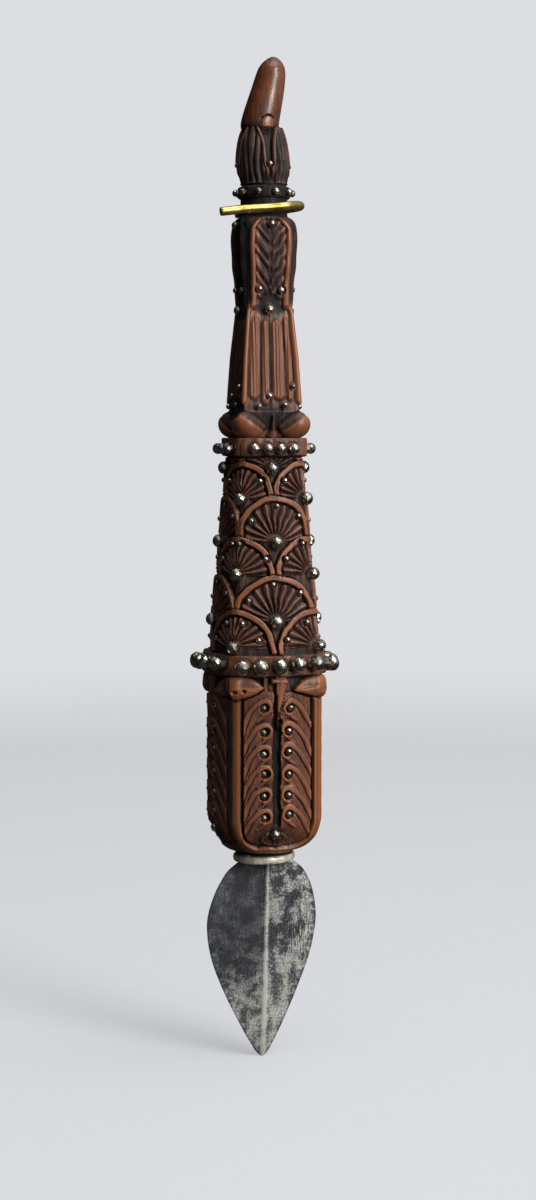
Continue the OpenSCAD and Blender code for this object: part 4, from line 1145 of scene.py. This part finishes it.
def makeCalyx():
    step = 360 / calyx["beads"]

    def place(turn, rise):
        z = calyx["foot"] + rise * (calyx["top"] - calyx["foot"])
        r = valueAt(z, calyx["profile"])
        local = turn - 90 * np.round(turn / 90)
        arc = np.radians(local) * r
        # A slot opens upward from each stud, between the curled edges of two leaves
        edge = np.abs(arc) - valueAt(z, calyx["slot"])
        slot = smoothStep(0.1, -0.12, edge) * smoothStep(132.9, 133.8, z)
        rim = ridge(edge - calyx["rim"] / 2, calyx["rim"], 0.6) * smoothStep(131.5, 132.8, z)
        # Wide ribs, bent like an S
        bent = math.radians(45) * r - np.abs(arc) + 0.55 + 0.14 * np.sin((z - 131.5) * 0.8)
        ribs = np.clip(1 - np.abs(2 * (bent / calyx["ribWidth"] % 1) - 1) ** 1.8, 0, 1)
        onLeaf = smoothStep(131.0, 131.5, z)
        relief = np.where(edge < calyx["rim"], -0.4 + 0.46 * rim, (-0.4 + 0.3 * ribs) * onLeaf) * onLeaf
        relief = mix(relief, -0.8, slot) - 0.3 * ridge(z - 131.05, 0.4, 0.8)
        relief = seat(relief, np.hypot(arc, z - calyx["studHeight"]), 0.42, -0.45)
        fromBead = turn / step - calyx["beadTurn"]
        fromBead = (fromBead - np.round(fromBead)) * math.radians(step) * r
        relief = seat(relief, np.hypot(fromBead, z - calyx["beadHeight"]), 0.5, -0.15)
        light = 0.34 * rim * (1 - slot) + 0.14 * ribs * onLeaf * (edge > calyx["rim"])
        light = light - 0.34 - 0.1 * smoothStep(131.4, 131.0, z)
        out = r + relief
        a = np.radians(turn)
        x = valueAt(z, calyx["aside"]) + out * np.sin(a)
        # Each leaf rises to its middle
        lift = rise ** 3 * (0.75 * np.sin(np.radians(2 * np.abs(local))) - 0.5)
        return x, -out * np.cos(a), z + lift, carvedFinish(relief, 3, light)

    piece = shapedTube("calyxCarving", 288, (10, 9), place)
    dress(piece, "carved_wood", "calyx_cup")
    beads, studs = [], []
    for i in range(calyx["beads"]):
        turn = (i + calyx["beadTurn"]) * 360 / calyx["beads"]
        beads.append((*onSide(turn / 90, 0, 3.8, calyx["beadHeight"]), turn, 0, calyx["bead"]))
    for side in range(4):
        x, y, z = onSide(side, 0, 3.62, calyx["studHeight"])
        studs.append((x - 0.15, y, z, side * 90, -4, calyx["stud"]))
    studGroup("beadRingStuds", beads, "bead_ring_studs")
    studGroup("calyxStuds", studs, "calyx_studs")


# Finial horn

horn = {
    # Height, radius and shift to the right
    "rings": [(139.1, 2.8, -0.65), (140.3, 2.85, -0.64), (142.0, 2.76, -0.24), (143.7, 2.62, 0.2),
              (145.6, 2.42, 0.68), (147.3, 2.22, 1.03), (148.4, 1.95, 1.2), (149.2, 1.45, 1.33),
              (149.75, 0.8, 1.4), (149.98, 0.25, 1.42)],
    "notchTurn": 8,
    "notchHeight": 140.7,
}


def makeHorn():
    heights, radii, aside = zip(*horn["rings"])
    path = np.concatenate([[0], np.cumsum(np.hypot(np.diff(heights), np.diff(radii)))])

    def rounded(t, values, steps):
        return sum(np.interp(t + step, path, values) for step in steps) / len(steps)

    def place(turn, rise):
        t = rise * path[-1]
        z = np.interp(t, path, heights)
        r = rounded(t, radii, (-0.35, -0.15, 0.0, 0.15, 0.35))
        x = rounded(t, aside, (-0.5, -0.25, 0.0, 0.25, 0.5))
        a = np.radians(turn)
        arc = np.radians(turn - horn["notchTurn"]) * r
        # A raised lip under a curved notch on the front
        lip = z - horn["notchHeight"] - 0.45 + 0.55 * arc * arc
        notch = ridge(lip, 0.32, 0.8) * smoothStep(1.2, 0.9, np.abs(arc))
        raised = smoothStep(0.0, -0.3, lip) * smoothStep(1.1, 0.8, np.abs(arc))
        out = r - 0.3 * notch + 0.14 * raised - 0.5 * smoothStep(139.5, 139.15, z)
        # Darker towards the foot, most at the very foot away from the front
        darkerLow = 0.5 * smoothStep(140.2, 139.3, z) * (np.abs(arc) > 1.0) + 0.14 * smoothStep(144.5, 140.5, z)
        light = np.clip(0.64 - 0.75 * notch - darkerLow + 0.2 * raised, 0, 1)
        return x + out * np.sin(a), -out * np.cos(a), z, [light, np.clip(light - 0.25, 0, 1), light * 0]

    piece = shapedTube("hornFinial", 128, (9, 9), place)
    dress(piece, "horn_wood", "finial_horn")


# Blade

blade = {
    "length": 30.1,
    "outline": [(0.0, 0.2), (0.45, 0.72), (2.0, 1.73), (6.0, 3.83), (11.0, 6.13), (15.5, 7.77),
                (18.5, 8.38), (21.2, 8.57), (23.9, 8.12), (27.0, 6.94), (28.9, 5.65), (30.1, 4.1)],
    "middle": [(0.0, -0.35), (6.0, -0.47), (12.0, -0.58), (21.2, -0.38), (28.0, 0.1), (30.1, 0.15)],
    "ridgeLine": [(0.0, -0.3), (6.0, -0.14), (17.0, 0.14), (30.1, 0.4)],
    "ridge": 0.9,
    "edge": 0.1,
}


def smoothCurve(x, points):
    # Cubic through the given points, with slopes taken from their neighbours
    xs, ys = np.array(points, dtype=float).T
    slopes = np.gradient(ys, xs)
    i = np.clip(np.searchsorted(xs, x, side="right") - 1, 0, len(xs) - 2)
    h = xs[i + 1] - xs[i]
    t = np.clip((x - xs[i]) / h, 0, 1)
    return ((2 * t**3 - 3 * t**2 + 1) * ys[i] + (t**3 - 2 * t**2 + t) * h * slopes[i]
            + (3 * t**2 - 2 * t**3) * ys[i + 1] + (t**3 - t**2) * h * slopes[i + 1])


def makeBlade():
    def place(turn, rise):
        z = rise * blade["length"]
        wide = smoothCurve(z, blade["outline"])
        middle = smoothCurve(z, blade["middle"])
        front = np.abs(turn) <= 90
        share = np.where(front, turn / 90, (np.sign(turn) * 180 - turn) / 90)
        x = middle + wide * share
        lean = smoothCurve(z, blade["ridgeLine"])
        thick = blade["edge"] + (blade["ridge"] - blade["edge"]) * (0.25 + 0.75 * rise ** 0.6)
        off = np.abs(x - lean) / np.maximum(wide - np.sign(x - lean) * (lean - middle), 0.3)
        spine = np.exp(-((x - lean) / (0.32 + 0.16 * (1 - rise))) ** 4)
        y = blade["edge"] + (thick - blade["edge"]) * (0.74 * np.clip(1 - off, 0, 1) ** 1.15 + 0.26 * spine)
        y = np.where(front, -y, y)
        rim = np.exp(-((wide * (1 - np.abs(share))) / 0.22) ** 2)
        # Oxide lies thickest on the upper left; the point and the ridge are bare, and the right side is
        # lighter, partly bare steel and partly painted light from the right
        right = smoothStep(-0.1, 0.25, share)
        high = smoothStep(6.0, 22.0, z)
        patch = np.exp(-((share + 0.45) / 0.4) ** 2 - ((z - 14.5) / 5.5) ** 2)
        band = spine * (0.75 + 0.25 * high)
        bareSteelAndPaintedLight = 0.57 - 0.34 * high + right * (0.02 + 0.15 * high) - 0.2 * patch + 0.6 * band - 0.25 * rim
        scratched = 0.12 + 0.9 * np.exp(-((share - 0.75) / 0.2) ** 2 - ((z - 18.5) / 3.0) ** 2)
        mottled = (1 - 0.6 * high * (1 - right)) * (1 - 0.2 * band) * (0.8 + 0.2 * high)
        return x, y, z, [bareSteelAndPaintedLight, scratched, mottled]

    piece = shapedTube("leafBlade", 160, (12, 11), place)
    dress(piece, "blade_steel", "blade")


# Ferrule: a thin ring, a little dented by use

ferrule = {"middle": 30.76, "ring": 4.05, "section": 0.66, "half": 0.6, "tilt": 1.6}


def makeFerrule():
    clearSelection()
    bpy.ops.mesh.primitive_torus_add(
        major_segments=144, minor_segments=32, major_radius=ferrule["ring"], minor_radius=ferrule["section"])
    piece = bpy.context.object
    piece.name = piece.data.name = "ferruleRing"
    for vertex in piece.data.vertices:
        x, y, z = vertex.co
        far = math.hypot(x, y)
        turn = math.atan2(y, x)
        # The round section is squared a little, then dented
        side = (far - ferrule["ring"]) / ferrule["section"]
        rise = z / ferrule["section"]
        grow = 1 / max(abs(side) ** 3 + abs(rise) ** 3, 1e-6) ** (1 / 3)
        dent = 0.04 * math.sin(turn * 5 + 1) + 0.03 * math.sin(turn * 11 + z * 3)
        side, rise = side * grow, rise * grow
        far = ferrule["ring"] + side * ferrule["section"] * (0.93 + dent * 0.6)
        tilted = far * math.cos(turn) * math.tan(math.radians(ferrule["tilt"]))
        vertex.co = (
            far * math.cos(turn) * mm,
            far * math.sin(turn) * mm,
            (ferrule["middle"] + tilted + rise * ferrule["half"] * (0.97 + dent * 0.5)) * mm,
        )
    activate(piece)
    bpy.ops.object.shade_smooth()
    dress(piece, "ferrule_metal", "ferrule")


# Wire clip: one length of brass wire, bent round and cut off square

wire = {"radius": 0.65, "bend": 4.4, "bendX": 1.05, "front": 7.9, "back": 3.2, "height": 127.625, "tilt": 6}


def makeWire():
    clearSelection()
    bpy.ops.mesh.primitive_circle_add(
        vertices=24, radius=wire["radius"] * mm, fill_type="NGON",
        location=(-wire["front"] * mm, -wire["bend"] * mm, 0), rotation=(0, math.radians(90), 0))
    piece = bpy.context.object
    bpy.ops.object.transform_apply(location=True, rotation=True, scale=True)
    editing(True)
    bpy.ops.mesh.select_all(action="SELECT")

    def straight(length, steps):
        for _ in range(steps):
            bpy.ops.mesh.extrude_region_move(
                TRANSFORM_OT_translate={"value": (length / steps * mm, 0, 0)})

    straight(wire["front"] + wire["bendX"], 24)
    bpy.ops.mesh.spin(
        steps=32, angle=math.pi, center=(wire["bendX"] * mm, 0, 0), axis=(0, 0, -1), dupli=False)
    straight(-wire["back"] - wire["bendX"], 12)
    bpy.ops.mesh.select_all(action="SELECT")
    bpy.ops.mesh.remove_doubles(threshold=0.00001)
    bpy.ops.mesh.normals_make_consistent(inside=False)
    editing(False)
    tilt = math.radians(wire["tilt"])
    for vertex in piece.data.vertices:
        x, y, z = (c / mm for c in vertex.co)
        # Small kinks left by hand bending
        z += 0.04 * math.sin(x * 0.7 + y * 0.4)
        y += 0.02 * math.sin(x * 0.9)
        vertex.co = (
            (x * math.cos(tilt) - z * math.sin(tilt)) * mm,
            y * mm,
            (wire["height"] + x * math.sin(tilt) + z * math.cos(tilt)) * mm,
        )
    piece.name = piece.data.name = "wireClip"
    activate(piece)
    bevel = piece.modifiers.new("cutEnds", "BEVEL")
    bevel.width = 0.12 * mm
    bevel.segments = 2
    bevel.limit_method = "ANGLE"
    bevel.angle_limit = math.radians(50)
    bpy.ops.object.modifier_apply(modifier="cutEnds")
    bpy.ops.object.shade_smooth_by_angle(angle=math.radians(40))
    dress(piece, "wire_brass", "neck_clip", "clip")


makeGrip()
print("grip made")
makeScaleSection()
print("scale section made")
for collarName, collarValues in collars.items():
    makeCollar(collarName, collarValues)
makeShaft()
print("shaft made")
makeCalyx()
makeHorn()
print("calyx and horn made")
makeBlade()
makeFerrule()
makeWire()
print("blade, ferrule and wire made")

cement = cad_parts["tang_cement"]
cement.data.materials.clear()
cement.data.materials.append(resin)

# Floor, light and background

stage = {
    "paper": "#e2e3e7",
    "backdrop": "#dcdee2",
    "bounce": "#3c3a3a",
    "fadeFrom": 0.05,
    "fadeTo": 0.6,
    "even": 0.55,
    "unseenGlow": 0.05,
    "skyLow": 0.02,
    "skyHigh": 0.6,
    "brightSide": (0.55, -0.35, 0.75),
    "aim": (0, 0, 0.08),
    # Name, place, size in m, power and colour of each lamp
    "lamps": [
        ("windowRight", (0.36, -0.66, 0.44), (0.3, 0.5), 5.0, "#fffdf8"),
        ("sheetFront", (0.42, -0.74, 0.1), (0.5, 0.4), 1.45, "#f6f8ff"),
        ("sheetTop", (0.12, -0.12, 0.7), (0.4, 0.4), 1.6, "#ffffff"),
    ],
}


# White paper. Only the camera sees it pale: to the object it is darker, as a far table would be.
def paperFloor():
    material, tree = newMaterial("paperFloor")
    seen = addNode(tree, "LightPath").outputs["Is Camera Ray"]
    colour = addNode(tree, "Mix", {"data_type": "RGBA"}, {
        "Factor": seen, "A": linear(stage["bounce"]), "B": linear(stage["paper"])})
    paper = addNode(tree, "BsdfDiffuse", inputs={"Color": colour.outputs["Result"]})
    # Further out the paper fades into the backdrop, so that no horizon shows
    place = addNode(tree, "TexCoord").outputs["Object"]
    distance = addNode(tree, "VectorMath", {"operation": "LENGTH"}, {0: place})
    fade = addNode(tree, "MapRange", {"interpolation_type": "SMOOTHSTEP"}, {
        "Value": distance.outputs["Value"], "From Min": stage["fadeFrom"], "From Max": stage["fadeTo"]})
    glow = addNode(tree, "MapRange", inputs={"Value": seen, "To Min": stage["unseenGlow"], "To Max": 1.0})
    backdrop = addNode(tree, "Emission", inputs={
        "Color": linear(stage["backdrop"]), "Strength": glow.outputs["Result"]})
    # Part of the paper's own light keeps it even under the lamps
    even = addNode(tree, "Math", {"operation": "MULTIPLY"}, {0: seen, 1: stage["even"]})
    share = addNode(tree, "Math", {"operation": "MAXIMUM"}, {0: fade.outputs["Result"], 1: even.outputs[0]})
    mixed = addNode(tree, "MixShader", inputs={
        0: share.outputs[0], 1: paper.outputs["BSDF"], 2: backdrop.outputs["Emission"]})
    addNode(tree, "OutputMaterial", inputs={"Surface": mixed.outputs["Shader"]})
    clearSelection()
    bpy.ops.mesh.primitive_plane_add(size=12)
    piece = bpy.context.object
    piece.name = "paperFloor"
    piece.data.materials.append(material)


def addLamp(name, place, size, power, colour):
    data = bpy.data.lights.new(name, "AREA")
    data.shape = "RECTANGLE"
    data.size, data.size_y = size
    data.energy = power
    data.color = linear(colour)[:3]
    piece = bpy.data.objects.new(name, data)
    piece.location = place
    piece.rotation_euler = (Vector(stage["aim"]) - Vector(place)).to_track_quat("-Z", "Y").to_euler()
    bpy.context.collection.objects.link(piece)


# The camera sees the pale backdrop all round. The object is lit by a sky that is bright
# above on the right and dark below on the left.
def addWorld():
    world = bpy.data.worlds.new("studio")
    bpy.context.scene.world = world
    world.use_nodes = True
    tree = world.node_tree
    tree.nodes.clear()
    path = addNode(tree, "LightPath").outputs
    seen = addNode(tree, "Math", {"operation": "MAXIMUM"}, {
        0: path["Is Camera Ray"], 1: path["Is Transmission Ray"]})
    direction = addNode(tree, "TexCoord").outputs["Generated"]
    towards = addNode(tree, "VectorMath", {"operation": "DOT_PRODUCT"}, {
        0: direction, 1: stage["brightSide"]})
    sky = addNode(tree, "MapRange", {"interpolation_type": "SMOOTHSTEP"}, {
        "Value": towards.outputs["Value"], "From Min": -0.25, "From Max": 0.95,
        "To Min": stage["skyLow"], "To Max": stage["skyHigh"]})
    strength = addNode(tree, "Mix", {"data_type": "FLOAT"}, {
        "Factor": seen.outputs[0], "A": sky.outputs["Result"], "B": 1.0})
    background = addNode(tree, "Background", inputs={
        "Color": linear(stage["backdrop"]), "Strength": strength.outputs[0]})
    addNode(tree, "OutputWorld", inputs={"Surface": background.outputs["Background"]})


paperFloor()
for lamp in stage["lamps"]:
    addLamp(*lamp)
addWorld()

bpy.context.scene.view_settings.view_transform = "Standard"
print("stage made")
